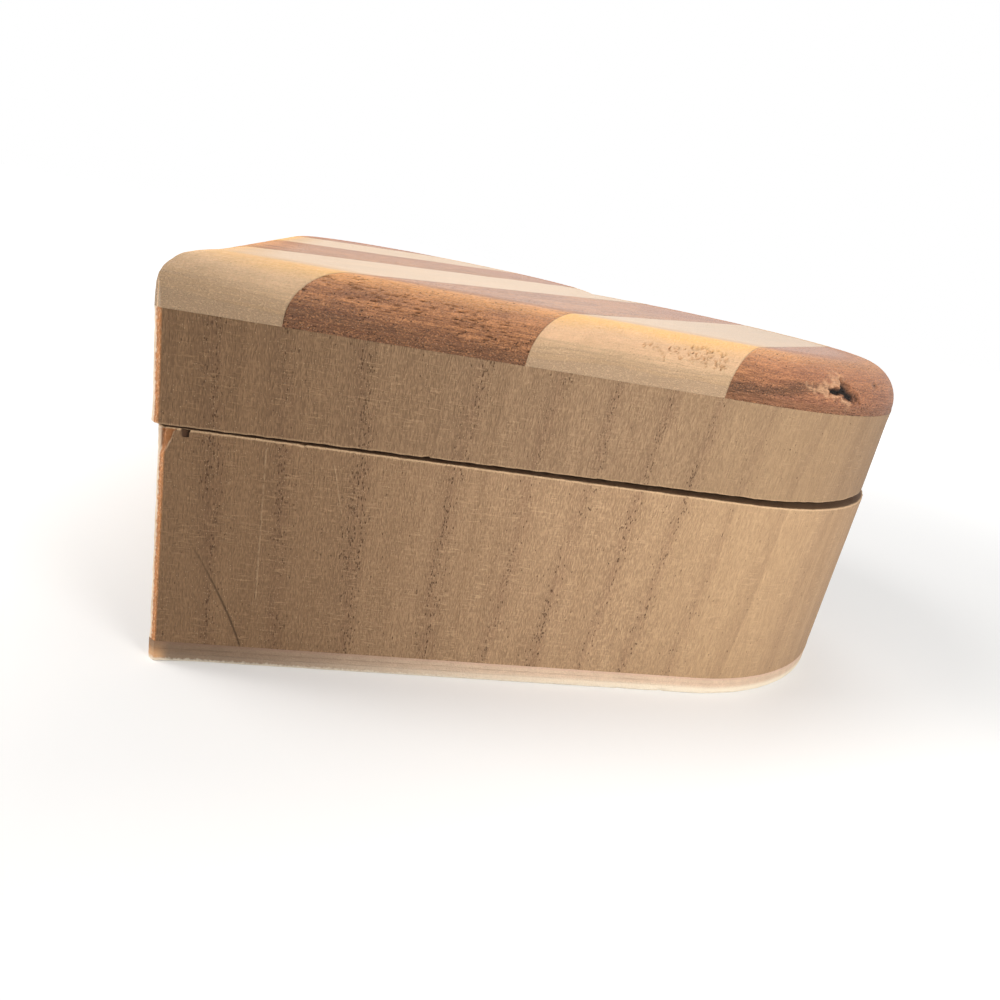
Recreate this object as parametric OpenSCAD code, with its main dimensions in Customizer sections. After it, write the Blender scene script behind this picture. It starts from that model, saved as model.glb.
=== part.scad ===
// Heart-shaped wooden trinket box with a striped, hinged lid.
// The walls are one hollowed block with upright grain, sawn apart at the joint.
// The lid's panel is a row of glued strips that run from the tip to the lobes.
// Origin: bottom centre. The tip points to -Y and the hinges are at +Y.

/* [Heart outline] */
// Overall width across both lobes
heart_w = 129; // [122:1:132]
// Length from the tip's corner to the backs of the lobes
heart_len = 119.6; // [112:0.4:128]
// Radius of each lobe
lobe_r = 37; // [36:0.5:39]
// Width of the small flat sanded on the tip
tip_flat = 1.2; // [0.6:0.1:2.4]

/* [Walls] */
// Thickness of the wooden walls
wall_t = 8; // [7.5:0.5:10]
// Radius that the cutter leaves inside the tip
tip_fillet = 3.2; // [1:0.2:6]
// Height of the base, from the table to the joint
base_h = 32; // [24:1:50]
// Thickness of the bottom board
bottom_t = 3; // [2:0.2:5]
// Rounding of the bottom board's lower edge
bottom_round = 0.7; // [0.3:0.1:1.5]
// Height of the lid's frame, below its striped panel
frame_h = 13.4; // [9:0.2:24]

/* [Striped panel] */
// Thickness of the striped panel
panel_t = 6.8; // [6.8:0.2:9]
// Radius of the panel's rounded top edge
round_r = 6.6; // [3:0.2:6.6]
// Width of the middle strip
strip_mid = 19; // [14:0.5:24]
// Width of the strips next to the middle one
strip_in = 20; // [14:0.5:24]
// Width of the next strips out; the outermost ones take what is left
strip_out = 19; // [12:0.5:24]

/* [Lid fit] */
// How far the lid sits to the left of the base
lid_left = 0.5; // [0:0.1:1]
// How far the lid sits forward of the base
lid_forward = 0.6; // [0:0.1:1.2]
// Gap between lid and base at the tip
tip_gap = 0.15; // [0.1:0.05:0.4]

/* [Hinges] */
// Width of each hinge
hinge_w = 12; // [10:0.5:16]
// Length of a leaf on the rim
leaf_len = 6.8; // [6:0.2:7]
// Thickness of a leaf
leaf_t = 0.7; // [0.5:0.05:1]
// Gap between the two leaves when the lid is shut
leaf_gap = 0.25; // [0.2:0.05:0.5]
// Diameter of the knuckles
knuckle_d = 2.6; // [2.2:0.1:3.2]
// Diameter of the hinge pin
pin_d = 1.2; // [0.8:0.1:1.4]
// Radial running clearance of the pin in the lid's knuckle
pin_clear = 0.05; // [0.03:0.01:0.08]
// Gap at the ends of a knuckle and at the leaves' notches
knuckle_gap = 0.15; // [0.1:0.05:0.3]
// Gap between the knuckles and the wall
knuckle_stand = 0.25; // [0.2:0.05:0.6]

/* [Screws] */
// Diameter of the screws' shanks
screw_d = 1.4; // [1:0.1:1.6]
// Length of a screw under its head
screw_len = 6; // [4:0.5:8]
// Length of a screw's pointed end
screw_point = 1.4; // [1:0.2:2]
// Distance between the two screws of a leaf
screw_gap = 6.8; // [5:0.2:7]

/* [Hidden] */
$fn = 96;

// Lobe centres, measured from the tip's corner
lobe_x = heart_w / 2 - lobe_r;
lobe_y = heart_len - lobe_r;
lobe_far = norm([lobe_x, lobe_y]);
// Angle between the heart's axis and each straight side
side_a = atan(lobe_x / lobe_y) + asin(lobe_r / lobe_far);
// Length of a straight side, up to where the lobe starts
side_len = sqrt(lobe_far * lobe_far - lobe_r * lobe_r);
// Where the flat cuts the tip
flat_y = tip_flat / 2 / tan(side_a);
// Room for cutting tools outside the outline
spare = 4;

knuckle_r = knuckle_d / 2;
pin_r = pin_d / 2;
screw_r = screw_d / 2;
// Rim-to-rim distance at the hinges
rim_gap = 2 * leaf_t + leaf_gap;
// Hinge axis
hinge_y = heart_len + knuckle_stand + knuckle_r;
hinge_z = base_h + rim_gap / 2;
// The lid leans forward until its tip nearly meets the base
lid_lean = asin((rim_gap - tip_gap) / (hinge_y - flat_y + lid_forward));
lid_z = base_h + rim_gap;
// The drawing's tip is at y = 0; this brings the middle of the whole box there
front_y = flat_y - lid_forward - frame_h * sin(lid_lean);
back_y = hinge_y + knuckle_r;
mid_y = (front_y + back_y) / 2;
mid_x = -lid_left / 2;
// Front edge of the leaves, and the line of screws
leaf_y = heart_len - leaf_len;
screw_y = heart_len - wall_t / 2;
knuckle_w = hinge_w / 3;

// A point at distance d out from a lobe's centre, square to the straight side
function side_point(d) = [lobe_x + d * cos(side_a), lobe_y - d * sin(side_a)];
function flip(p) = [-p[0], p[1]];

// The heart's outline
module heart_outline() {
    polygon([[tip_flat / 2, flat_y], side_point(lobe_r), [lobe_x, lobe_y],
             [-lobe_x, lobe_y], flip(side_point(lobe_r)), [-tip_flat / 2, flat_y]]);
    translate([lobe_x, lobe_y]) circle(lobe_r);
    translate([-lobe_x, lobe_y]) circle(lobe_r);
}

// The hollow inside the walls, with the cutter's round inside the tip
module hollow_outline() {
    tip = [0, (wall_t + tip_fillet) / sin(side_a)];
    touch = tip + tip_fillet * [cos(side_a), -sin(side_a)];
    polygon([touch, side_point(lobe_r - wall_t), [lobe_x, lobe_y],
             [-lobe_x, lobe_y], flip(side_point(lobe_r - wall_t)), flip(touch)]);
    translate(tip) circle(tip_fillet);
    translate([lobe_x, lobe_y]) circle(lobe_r - wall_t);
    translate([-lobe_x, lobe_y]) circle(lobe_r - wall_t);
}

module wall_ring(h) {
    linear_extrude(h)
        difference() {
            heart_outline();
            hollow_outline();
        }
}

// Cross-section of a board of thickness t whose top corner at x = w has radius r
module edge_profile(w, t, r) {
    square([w, t - r]);
    square([w - r, t]);
    translate([w - r, t - r])
        intersection() {
            circle(r);
            square(r);
        }
}

// The right-hand side of a heart-shaped board with a rounded top edge. It is a straight slab
// and a lobe that meet square to the side, where the side runs into the lobe. The slab
// reaches inwards past the heart's axis at the height of the lobes' centres.
module side_and_lobe(t, r) {
    reach = lobe_x * cos(side_a) + spare;
    translate([lobe_x, lobe_y, 0]) rotate([0, 0, -side_a]) {
        rotate([90, 0, 0])
            linear_extrude(side_len + spare)
                union() {
                    edge_profile(lobe_r, t, r);
                    translate([-reach, 0]) square([reach, t]);
                }
        rotate_extrude(angle = 180 + side_a) edge_profile(lobe_r, t, r);
    }
}

// The part of a heart-shaped board between x0 and x1 on the right of the heart's axis
module half_board(t, r, x0, x1) {
    intersection() {
        side_and_lobe(t, r);
        translate([x0, flat_y, -spare]) cube([x1 - x0, heart_len, t + 2 * spare]);
    }
}

// The part of a heart-shaped board within x1 of the heart's axis. Between the lobes the two
// rounded edges meet in a valley, and at the tip they meet in a mitre.
module middle_board(t, r, x1) {
    half_board(t, r, 0, x1);
    mirror([1, 0, 0]) half_board(t, r, 0, x1);
}

// Puts a strip on the lid's frame
module in_panel() {
    place() lid_wood() translate([0, 0, lid_z + frame_h]) children();
}

// Brings the drawing to the part's frame
module place() {
    translate([-mid_x, -mid_y, 0]) children();
}

// The lid at rest, leaning forward about the hinge axis
module lean() {
    translate([0, hinge_y, hinge_z])
        rotate([lid_lean, 0, 0])
            translate([0, -hinge_y, -hinge_z]) children();
}

// The lid's wood, which sits a little to the left and forward of the base
module lid_wood() {
    lean() translate([-lid_left, -lid_forward, 0]) children();
}

// Screw with a countersunk head flush with a leaf that lies at z = 0 to leaf_t
module screw() {
    cylinder(h = leaf_t, r1 = screw_r, r2 = screw_r + leaf_t);
    translate([0, 0, screw_point - screw_len]) cylinder(h = screw_len - screw_point, r = screw_r);
    translate([0, 0, -screw_len]) cylinder(h = screw_point, r1 = screw_r / 5, r2 = screw_r);
}

module pilot_hole() {
    translate([0, 0, -screw_len]) cylinder(h = screw_len + leaf_t, r = screw_r);
}

// Places a copy at each of the two screws of the leaf at x = side * lobe_x
module at_screws(side) {
    for (e = [-1, 1])
        translate([side * lobe_x + e * screw_gap / 2, screw_y, 0]) children();
}

// Leaf lying at z = 0 to leaf_t with knuckles on the axis at height up.
// Each span in spans is a knuckle's start and end along the axis.
module leaf(up, spans, bore_r) {
    notch_y = hinge_y - knuckle_r - knuckle_gap;
    difference() {
        union() {
            translate([-hinge_w / 2, leaf_y, 0]) cube([hinge_w, notch_y - leaf_y, leaf_t]);
            for (s = spans) {
                translate([s[0], leaf_y, 0]) cube([s[1] - s[0], hinge_y - leaf_y, leaf_t]);
                translate([s[0], hinge_y, up]) rotate([0, 90, 0]) cylinder(h = s[1] - s[0], r = knuckle_r);
            }
        }
        translate([-hinge_w, hinge_y, up]) rotate([0, 90, 0]) cylinder(h = 2 * hinge_w, r = bore_r);
        for (e = [-1, 1])
            translate([e * screw_gap / 2, screw_y, 0])
                cylinder(h = leaf_t, r1 = screw_r, r2 = screw_r + leaf_t);
    }
}

module base_leaf(side) {
    side_w = knuckle_w - knuckle_gap / 2;
    place() translate([side * lobe_x, 0, base_h])
        leaf(rim_gap / 2,
             [[-hinge_w / 2, -hinge_w / 2 + side_w], [hinge_w / 2 - side_w, hinge_w / 2]],
             pin_r);
}

module lid_leaf(side) {
    half_w = knuckle_w / 2 - knuckle_gap / 2;
    place() lean() translate([side * lobe_x, 0, lid_z]) mirror([0, 0, 1])
        leaf(rim_gap / 2, [[-half_w, half_w]], pin_r + pin_clear);
}

module hinge_pin(side) {
    place() translate([side * lobe_x - hinge_w / 2, hinge_y, hinge_z])
        rotate([0, 90, 0]) cylinder(h = hinge_w, r = pin_r);
}

module base_wall() {
    color("burlywood")
        place() difference() {
            translate([0, 0, bottom_t]) wall_ring(base_h - bottom_t);
            translate([0, 0, base_h]) {
                at_screws(-1) pilot_hole();
                at_screws(1) pilot_hole();
            }
        }
}

module bottom_board() {
    color("wheat")
        place() translate([0, 0, bottom_t]) mirror([0, 0, 1])
            middle_board(bottom_t, min(bottom_round, bottom_t), heart_w / 2 + spare);
}

module lid_frame() {
    color("burlywood")
        place() difference() {
            lid_wood() translate([0, 0, lid_z]) wall_ring(frame_h);
            lean() translate([0, 0, lid_z]) mirror([0, 0, 1]) {
                at_screws(-1) pilot_hole();
                at_screws(1) pilot_hole();
            }
        }
}

edge_1 = strip_mid / 2;
edge_2 = edge_1 + strip_in;
edge_3 = edge_2 + strip_out;
edge_4 = heart_w / 2 + spare;
panel_r = min(round_r, panel_t);

module inner_strip() { half_board(panel_t, panel_r, edge_1, edge_2); }
module outer_strip() { half_board(panel_t, panel_r, edge_2, edge_3); }
module edge_strip() { half_board(panel_t, panel_r, edge_3, edge_4); }

module strip_left_edge() { color("sienna") in_panel() mirror([1, 0, 0]) edge_strip(); }
module strip_left_outer() { color("moccasin") in_panel() mirror([1, 0, 0]) outer_strip(); }
module strip_left_inner() { color("sienna") in_panel() mirror([1, 0, 0]) inner_strip(); }
module strip_middle() { color("moccasin") in_panel() middle_board(panel_t, panel_r, edge_1); }
module strip_right_inner() { color("sienna") in_panel() inner_strip(); }
module strip_right_outer() { color("moccasin") in_panel() outer_strip(); }
module strip_right_edge() { color("sienna") in_panel() edge_strip(); }

module left_base_leaf() { color("goldenrod") base_leaf(-1); }
module right_base_leaf() { color("goldenrod") base_leaf(1); }
module left_lid_leaf() { color("goldenrod") lid_leaf(-1); }
module right_lid_leaf() { color("goldenrod") lid_leaf(1); }
module left_hinge_pin() { color("darkgoldenrod") hinge_pin(-1); }
module right_hinge_pin() { color("darkgoldenrod") hinge_pin(1); }

module base_screws() {
    color("goldenrod")
        place() translate([0, 0, base_h]) {
            at_screws(-1) screw();
            at_screws(1) screw();
        }
}

module lid_screws() {
    color("goldenrod")
        place() lean() translate([0, 0, lid_z]) mirror([0, 0, 1]) {
            at_screws(-1) screw();
            at_screws(1) screw();
        }
}

base_wall();
bottom_board();
lid_frame();
strip_left_edge();
strip_left_outer();
strip_left_inner();
strip_middle();
strip_right_inner();
strip_right_outer();
strip_right_edge();
left_base_leaf();
left_lid_leaf();
left_hinge_pin();
right_base_leaf();
right_lid_leaf();
right_hinge_pin();
base_screws();
lid_screws();
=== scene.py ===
import math
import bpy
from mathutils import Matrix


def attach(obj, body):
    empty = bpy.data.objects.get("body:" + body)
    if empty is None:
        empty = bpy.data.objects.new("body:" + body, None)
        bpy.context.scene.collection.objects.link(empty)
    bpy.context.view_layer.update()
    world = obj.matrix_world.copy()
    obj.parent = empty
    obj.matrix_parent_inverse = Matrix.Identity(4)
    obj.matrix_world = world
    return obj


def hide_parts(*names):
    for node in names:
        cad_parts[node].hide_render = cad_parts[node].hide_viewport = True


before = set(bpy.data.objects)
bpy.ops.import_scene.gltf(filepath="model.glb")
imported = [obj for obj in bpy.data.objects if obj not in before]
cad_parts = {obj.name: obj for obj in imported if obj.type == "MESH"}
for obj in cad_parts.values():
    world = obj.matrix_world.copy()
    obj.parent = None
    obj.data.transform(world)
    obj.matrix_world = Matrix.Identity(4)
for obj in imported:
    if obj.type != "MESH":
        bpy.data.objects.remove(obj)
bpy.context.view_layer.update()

from types import SimpleNamespace as Look

import bpy
import numpy as np
from mathutils import Vector

bl_info = {
    "name": "Heart trinket box",
    "version": (1, 0, 0),
    "blender": (4, 5, 0),
    "location": "View3D > Sidebar > Trinket box",
    "description": "Dresses the packed heart-shaped trinket box in worked and sanded wood",
    "category": "Object",
}

MM = 0.001
PER_METRE = (1000, 1000, 1000)
WHITE = (1, 1, 1, 1)

# Places in the drawing's millimetres. A run is a distance along the outline from the tip,
# positive on the right, and a rise is a height over the table.
JOINT_MIDDLE = 32.83
LID_STARTS = (32.5, 33.2)
BOARD_LAYERS = (1.25, 2.0)
BOARD_NICKS = ((73.8, 0.3, 0.5), (67.0, 0.35, 0.25))
NOTCH_RUN, NOTCH_HALF, NOTCH_RISE = 2.8, 0.38, 31.0
FLAKE_LOW, FLAKE_HIGH = 28.6, 31.9
SCRATCH_TOP, SCRATCH_MIDDLE = 19.4, 13.9

# Pale lines on the base: run at the upper end, slope, width, lowest and highest rise.
PALE_LINES = ((12.1, 0.02, 0.15, 9.5, 32.0), (20.0, 0.25, 0.13, 22.5, 31.2))

# Chipped places of the sawn edges at the joint: run, half width, radius.
BASE_CHIPS = ((0.0, 0.5, 0.5), (16.2, 0.25, 0.4))
LID_CHIPS = ((32.2, 0.3, 0.35),)

# The wall's growth rings, as runs along its right side, and the length their curve covers.
RING_LINES = (-5, 2, 9, 17, 26, 37, 46, 53, 60, 67, 75, 84, 94, 104, 114, 124)
RING_SPAN = 130
SIDE_TURN, TIP_ALONG = math.radians(-46.435), 43.87

# Torn patches of the right-hand pale strip: seed, count, box of run and up, then the ranges
# of length, height and depth.
PALE_PATCHES = (
    (3, 9, (57.8, 60.2, 4.9, 5.8), (0.16, 0.34), (0.1, 0.2), (0.12, 0.22)),
    (4, 9, (59.8, 60.9, 2.9, 4.9), (0.16, 0.3), (0.1, 0.2), (0.1, 0.2)),
    (5, 17, (61.6, 64.9, 4.2, 5.9), (0.16, 0.36), (0.1, 0.22), (0.12, 0.24)),
    (6, 52, (64.8, 70.0, 3.4, 6.6), (0.16, 0.4), (0.1, 0.24), (0.12, 0.26)),
    (7, 12, (50.0, 56.0, 5.4, 7.6), (0.12, 0.2), (0.08, 0.14), (0.03, 0.06)),
)

# The open knot's ellipses: run, up, half length, half height, slope. Then the closed knot.
KNOT_ELLIPSES = ((88.3, 3.3, 2.4, 0.5, 0.02), (89.9, 3.5, 1.1, 1.2, -0.5),
                 (90.9, 2.85, 1.8, 0.8, -0.28))
CLOSED_KNOT = (98.6, 4.6, 0.8, 0.34)

# What differs between the strips' two woods: how strongly each layer of colour shows, the
# size of grit and pores, the relief, and tones, with the painted crest highlight among them.
PALE_FOOT = (0.31, 0.195, 0.10)
STRIP_LOOKS = {
    "brown": Look(seed=1.7, grit_long=5.5, pore_wide=0.24, pore_long=3.0, pore_flecks=0.5,
                  layers=0.5, cloud=0.7, fibres=0.42, lines=0.7, crest=0.6, dark_grit=0.34,
                  pale_grit=0.32, pores=0.8, pore_deep=1.0, bump=0.00018, top_rough=0.4,
                  crest_tone=(0.88, 0.40, 0.11), torn_tone=(0.80, 0.45, 0.25),
                  hollow_tone=(0.014, 0.008, 0.006)),
    "pale": Look(seed=5.3, grit_long=6.0, pore_wide=0.22, pore_long=6.0, pore_flecks=0.3,
                 layers=0.4, cloud=0.4, fibres=0.26, lines=0.55, crest=0.84, dark_grit=0.22,
                 pale_grit=0.3, pores=0.4, pore_deep=0.5, bump=0.00013, top_rough=0.34,
                 crest_tone=(0.95, 0.50, 0.11), torn_tone=(0.95, 0.72, 0.44),
                 hollow_tone=(0.46, 0.25, 0.11)),
}

# Lamps: name, place, aim, size in metres, power in watts. Then the solved camera.
LAMPS = (
    ("key_right", (0.147, -0.061, 0.068), (0.045, -0.01, 0.02), 0.07, 0.113),
    ("top_back", (-0.08, 0.24, 0.34), (0.0, 0.0, 0.03), 0.30, 0.62),
    ("top_left", (-0.10, -0.12, 0.25), (0.0, -0.04, 0.04), 0.12, 0.30),
    ("low_left", (-0.20, -0.19, 0.09), (0.0, -0.06, 0.03), 0.08, 0.26),
)
LAMP_TINT = (1, 0.98, 0.95)
LENS, SENSOR, NEAREST = 26.1029, 36, 0.005
CAMERA_PLACE = (0.0773330, -0.1072671, 0.0589173)
CAMERA_TURN = (70.78274, -11.17628, 35.85339)
FLOOR_HALF = 2.5


def length(name, description, default):
    """A size in metres."""
    return bpy.props.FloatProperty(name=name, description=description, default=default,
                                   subtype="DISTANCE", unit="LENGTH", precision=5)


def colour(name, description, default):
    """A colour, red, green and blue from 0 to 1, linear."""
    return bpy.props.FloatVectorProperty(name=name, description=description, default=default,
                                         subtype="COLOR", size=3, min=0, max=1)


class BoxSizes(bpy.types.PropertyGroup):
    """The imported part's sizes, which the pieces follow"""
    heart_w: length("Heart width", "Width across both lobes", 0.129)
    heart_len: length("Heart length", "From the tip's corner to the backs of the lobes", 0.1196)
    lobe_r: length("Lobe radius", "Radius of each lobe", 0.037)
    tip_flat: length("Tip flat", "Width of the small flat sanded on the tip", 0.0012)
    wall_t: length("Wall", "Thickness of the walls", 0.008)
    tip_fillet: length("Tip fillet", "Radius inside the tip", 0.0032)
    base_h: length("Base height", "From the table to the joint", 0.032)
    bottom_t: length("Bottom board", "Thickness of the bottom board", 0.003)
    bottom_round: length("Bottom rounding", "Rounding of the bottom's lower edge", 0.0007)
    frame_h: length("Lid frame", "Height of the lid's frame", 0.0134)
    panel_t: length("Panel", "Thickness of the striped panel", 0.0068)
    round_r: length("Roundover", "Radius of the panel's rounded edge", 0.0066)
    strip_mid: length("Middle strip", "Width of the middle strip", 0.019)
    strip_in: length("Inner strips", "Width of the strips beside it", 0.020)
    strip_out: length("Outer strips", "Width of the next strips out", 0.019)
    lid_left: length("Lid to the left", "How far the lid sits to the left", 0.0005)
    lid_forward: length("Lid forward", "How far the lid sits forward", 0.0006)
    tip_gap: length("Tip gap", "Gap between lid and base at the tip", 0.00015)
    leaf_t: length("Leaf", "Thickness of a hinge leaf", 0.0007)
    leaf_gap: length("Leaf gap", "Gap between shut leaves", 0.00025)
    knuckle_d: length("Knuckle", "Diameter of the hinges' knuckles", 0.0026)
    knuckle_stand: length("Knuckle stand-off", "Gap between knuckles and wall", 0.00025)
    screw_d: length("Screw", "Diameter of the screws' shanks", 0.0014)
    screw_len: length("Screw length", "Length of a screw under its head", 0.006)
    screw_point: length("Screw point", "Length of a screw's pointed end", 0.0014)
    screw_gap: length("Screw spacing", "Between the two screws of a leaf", 0.0068)


class BoxColours(bpy.types.PropertyGroup):
    """The base colours that the finishes start from"""
    wall: colour("Wall", "Upright-grained wood of base and lid frame", (0.48, 0.305, 0.172))
    bottom: colour("Bottom", "Bottom board", (0.76, 0.56, 0.405))
    pale: colour("Pale strips", "Pale strips of the lid", (0.70, 0.465, 0.265))
    brown: colour("Brown strips", "Red-brown strips of the lid", (0.49, 0.205, 0.082))
    brass: colour("Brass", "Hinges and screws", (0.62, 0.42, 0.16))
    floor: colour("Floor", "Plain floor", (0.8, 0.8, 0.8))


class Heart:
    """What follows from the box's sizes, in the drawing's millimetres: tip's corner at the
    origin, heart's axis along +Y, table at z = 0."""

    def __init__(self, sizes):
        for key in BoxSizes.__annotations__:
            setattr(self, key, getattr(sizes, key) * 1000)
        self.lobe_x = self.heart_w / 2 - self.lobe_r
        self.lobe_y = self.heart_len - self.lobe_r
        far = math.hypot(self.lobe_x, self.lobe_y)
        self.side_a = math.atan2(self.lobe_x, self.lobe_y) + math.asin(self.lobe_r / far)
        self.sin, self.cos = math.sin(self.side_a), math.cos(self.side_a)
        self.side_len = math.sqrt(far * far - self.lobe_r ** 2)
        self.flat_y = self.tip_flat / 2 / math.tan(self.side_a)
        self.side_0 = self.tip_flat / 2 / self.sin
        rim_gap = 2 * self.leaf_t + self.leaf_gap
        self.hinge_y = self.heart_len + self.knuckle_stand + self.knuckle_d / 2
        self.hinge_z = self.base_h + rim_gap / 2
        reach = self.hinge_y - self.flat_y + self.lid_forward
        self.lean = math.asin((rim_gap - self.tip_gap) / reach)
        self.lid_z = self.base_h + rim_gap
        self.panel_z = self.lid_z + self.frame_h
        front = self.flat_y - self.lid_forward - self.frame_h * math.sin(self.lean)
        back = self.hinge_y + self.knuckle_d / 2
        self.mid = np.array([-self.lid_left / 2, (front + back) / 2, 0])

    def to_row(self, p, on_lid=False, in_wood=True):
        """Drawing millimetres to the frame's metres. What is on the lid first moves left and
        forward, if it is wood, and leans forward about the hinge axis."""
        p = np.array(p, float)
        if on_lid:
            if in_wood:
                p = p - [self.lid_left, self.lid_forward, 0]
            y, z = p[..., 1] - self.hinge_y, p[..., 2] - self.hinge_z
            c, s = math.cos(self.lean), math.sin(self.lean)
            p[..., 1] = self.hinge_y + c * y - s * z
            p[..., 2] = self.hinge_z + s * y + c * z
        return (p - self.mid) * MM

    def outline(self, inset, parts):
        """Right half of the outline, moved in by inset, as x and y in three parts: the tip's
        flat or the round inside the tip, the straight side, and the lobe up to the axis.
        parts holds each part's fractions from 0 to 1."""
        a, r = self.side_a, self.lobe_r - inset
        start = np.array([self.lobe_x + r * self.cos, self.lobe_y - r * self.sin])
        if inset:
            turn = -math.pi / 2 + (math.pi / 2 - a) * parts[0]
            tip = (inset + self.tip_fillet) / self.sin
            fillet = self.tip_fillet
            first = np.stack([fillet * np.cos(turn), tip + fillet * np.sin(turn)], 1)
            corner = np.array([fillet * self.cos, tip - fillet * self.sin])
        else:
            flat = self.tip_flat / 2
            first = np.stack([flat * parts[0], np.full(len(parts[0]), self.flat_y)], 1)
            corner = np.array([flat, self.flat_y])
        side = corner + parts[1][:, None] * (start - corner)
        end = math.pi - math.acos(self.lobe_x / r)
        turn = -a + (end + a) * parts[2]
        lobe = np.stack([self.lobe_x + r * np.cos(turn), self.lobe_y + r * np.sin(turn)], 1)
        return np.concatenate([first, side, lobe])

    def outline_run(self, parts):
        """Distance along the outer outline from the middle of the tip, for the same fractions."""
        flat, side = self.tip_flat / 2, self.side_len - self.side_0
        end = math.pi - math.acos(self.lobe_x / self.lobe_r) + self.side_a
        return np.concatenate([flat * parts[0], flat + side * parts[1],
                               flat + side + self.lobe_r * end * parts[2]])

    def to_edge(self, x, y):
        """For points of the panel: distance in from the outline, and distance along it."""
        x = np.abs(x)
        dx, dy = x - self.lobe_x, y - self.lobe_y
        along = -(dx * self.sin + dy * self.cos)
        on_side = along > 0
        depth = np.where(on_side, self.lobe_r - (dx * self.cos - dy * self.sin),
                         self.lobe_r - np.hypot(dx, dy))
        flat = self.tip_flat / 2 - self.side_0
        turn = np.arctan2(dy, dx) + self.side_a
        run = np.where(on_side, self.side_len - along, self.side_len + self.lobe_r * turn) + flat
        return depth, run

    def panel_top(self, depth):
        """Height of the panel's top above its underside: a quarter circle, then flat."""
        k = np.clip(self.round_r - depth, 0, self.round_r)
        return self.panel_t - self.round_r + np.sqrt(self.round_r ** 2 - k * k)

    def up_edge(self, depth):
        """Distance up the panel's rounded edge from its underside, and on over its top."""
        k = unit(1 - depth / self.round_r)
        return (self.panel_t - self.round_r + self.round_r * np.arccos(k)
                + np.maximum(depth - self.round_r, 0))


def lumps(p, size, seed):
    """Smooth random numbers from -1 to 1: a lattice of the given size in millimetres holds a
    random number at each point, and a smooth step blends the eight round p."""
    q = np.asarray(p, float) / size
    i = np.floor(q).astype(np.int64)
    f = q - i
    f = f * f * (3 - 2 * f)
    total = 0
    for corner in np.ndindex(2, 2, 2):
        k = i + np.array(corner)
        n = k[..., 0] * 73856093 ^ k[..., 1] * 19349663 ^ k[..., 2] * 83492791 ^ seed * 40503
        n = (n ^ (n >> 13)) * 1274126177 & 0x7FFFFFFF
        n = (n ^ (n >> 15)) & 0xFFFF
        w = np.prod(np.where(np.array(corner) == 1, f, 1 - f), -1)
        total = total + w * (n / 32767.5 - 1)
    return total


def unit(value):
    """value, held between 0 and 1."""
    return np.clip(value, 0, 1)


def on_wall(run, rise):
    """Points for lumps() on the unrolled wall."""
    return np.stack(np.broadcast_arrays(run, rise, 0.0), -1)


def soft(e, r):
    """How far a sharp corner's faces draw back at distance e from it, to leave a hyperbola's
    round of radius r: (sqrt(e^2 + r^2) - e) / 2."""
    return (np.sqrt(e * e + r * r) - e) / 2


def spaced(a, b, fine, coarse, grow=1.35):
    """Values from a to b, fine apart at both ends and up to coarse apart between."""
    step, steps = fine, [0.0]
    while steps[-1] < (b - a) / 2:
        steps.append(steps[-1] + step)
        step = min(step * grow, coarse)
    half = np.array(steps) * (b - a) / 2 / steps[-1]
    return np.concatenate([a + half, b - half[-2::-1]])


def grid_faces(n, m, ring_n=True, ring_m=True, flip=False):
    """Four-sided faces of a grid of n by m points, which may close on itself both ways."""
    i, j = np.meshgrid(np.arange(n - (not ring_n)), np.arange(m - (not ring_m)), indexing="ij")
    k, l = (i + 1) % n, (j + 1) % m
    faces = np.stack([i * m + j, k * m + j, k * m + l, i * m + l], -1).reshape(-1, 4)
    return faces[:, [0, 3, 2, 1]] if flip else faces


def slab_faces(n, m):
    """Faces of a closed slab: a top grid of n by m points, then a bottom grid under it."""
    top, low = grid_faces(n, m, False, False), n * m
    i, j = np.arange(n - 1), np.arange(m - 1)
    left, right = j, (n - 1) * m + j
    near, far = i * m, i * m + m - 1
    return np.concatenate([
        top, top[:, ::-1] + low,
        np.stack([left + 1 + low, left + low, left, left + 1], -1),
        np.stack([right + low, right + 1 + low, right + 1, right], -1),
        np.stack([near + low, near + m + low, near + m, near], -1),
        np.stack([far + m + low, far + low, far, far + m], -1)])


def weld(points, faces, values):
    """Joins points that coincide. Faces that collapse to a line are left out, and those that
    collapse to a triangle become one."""
    key = np.round(points * 1e7).astype(np.int64)
    _, first, back = np.unique(key, axis=0, return_index=True, return_inverse=True)
    faces = back.reshape(-1)[faces]
    ends = np.roll(faces, -1, 1)
    bad = (faces == ends).any(1) | (faces[:, 0] == faces[:, 2]) | (faces[:, 1] == faces[:, 3])
    thin = faces[bad]
    thin = np.concatenate([thin[:, [0, 1, 2]], thin[:, [0, 2, 3]]])
    thin = thin[(thin != np.roll(thin, -1, 1)).all(1)]
    faces = faces[~bad].tolist() + thin.tolist()
    return points[first], faces, {k: v[first] for k, v in values.items()}


def grid_normals(p):
    """Unit normals of a grid of points, from the cross product of its two directions."""
    n = np.cross(np.gradient(p, axis=0), np.gradient(p, axis=1))
    return n / np.maximum(np.linalg.norm(n, axis=-1, keepdims=True), 1e-9)


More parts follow.
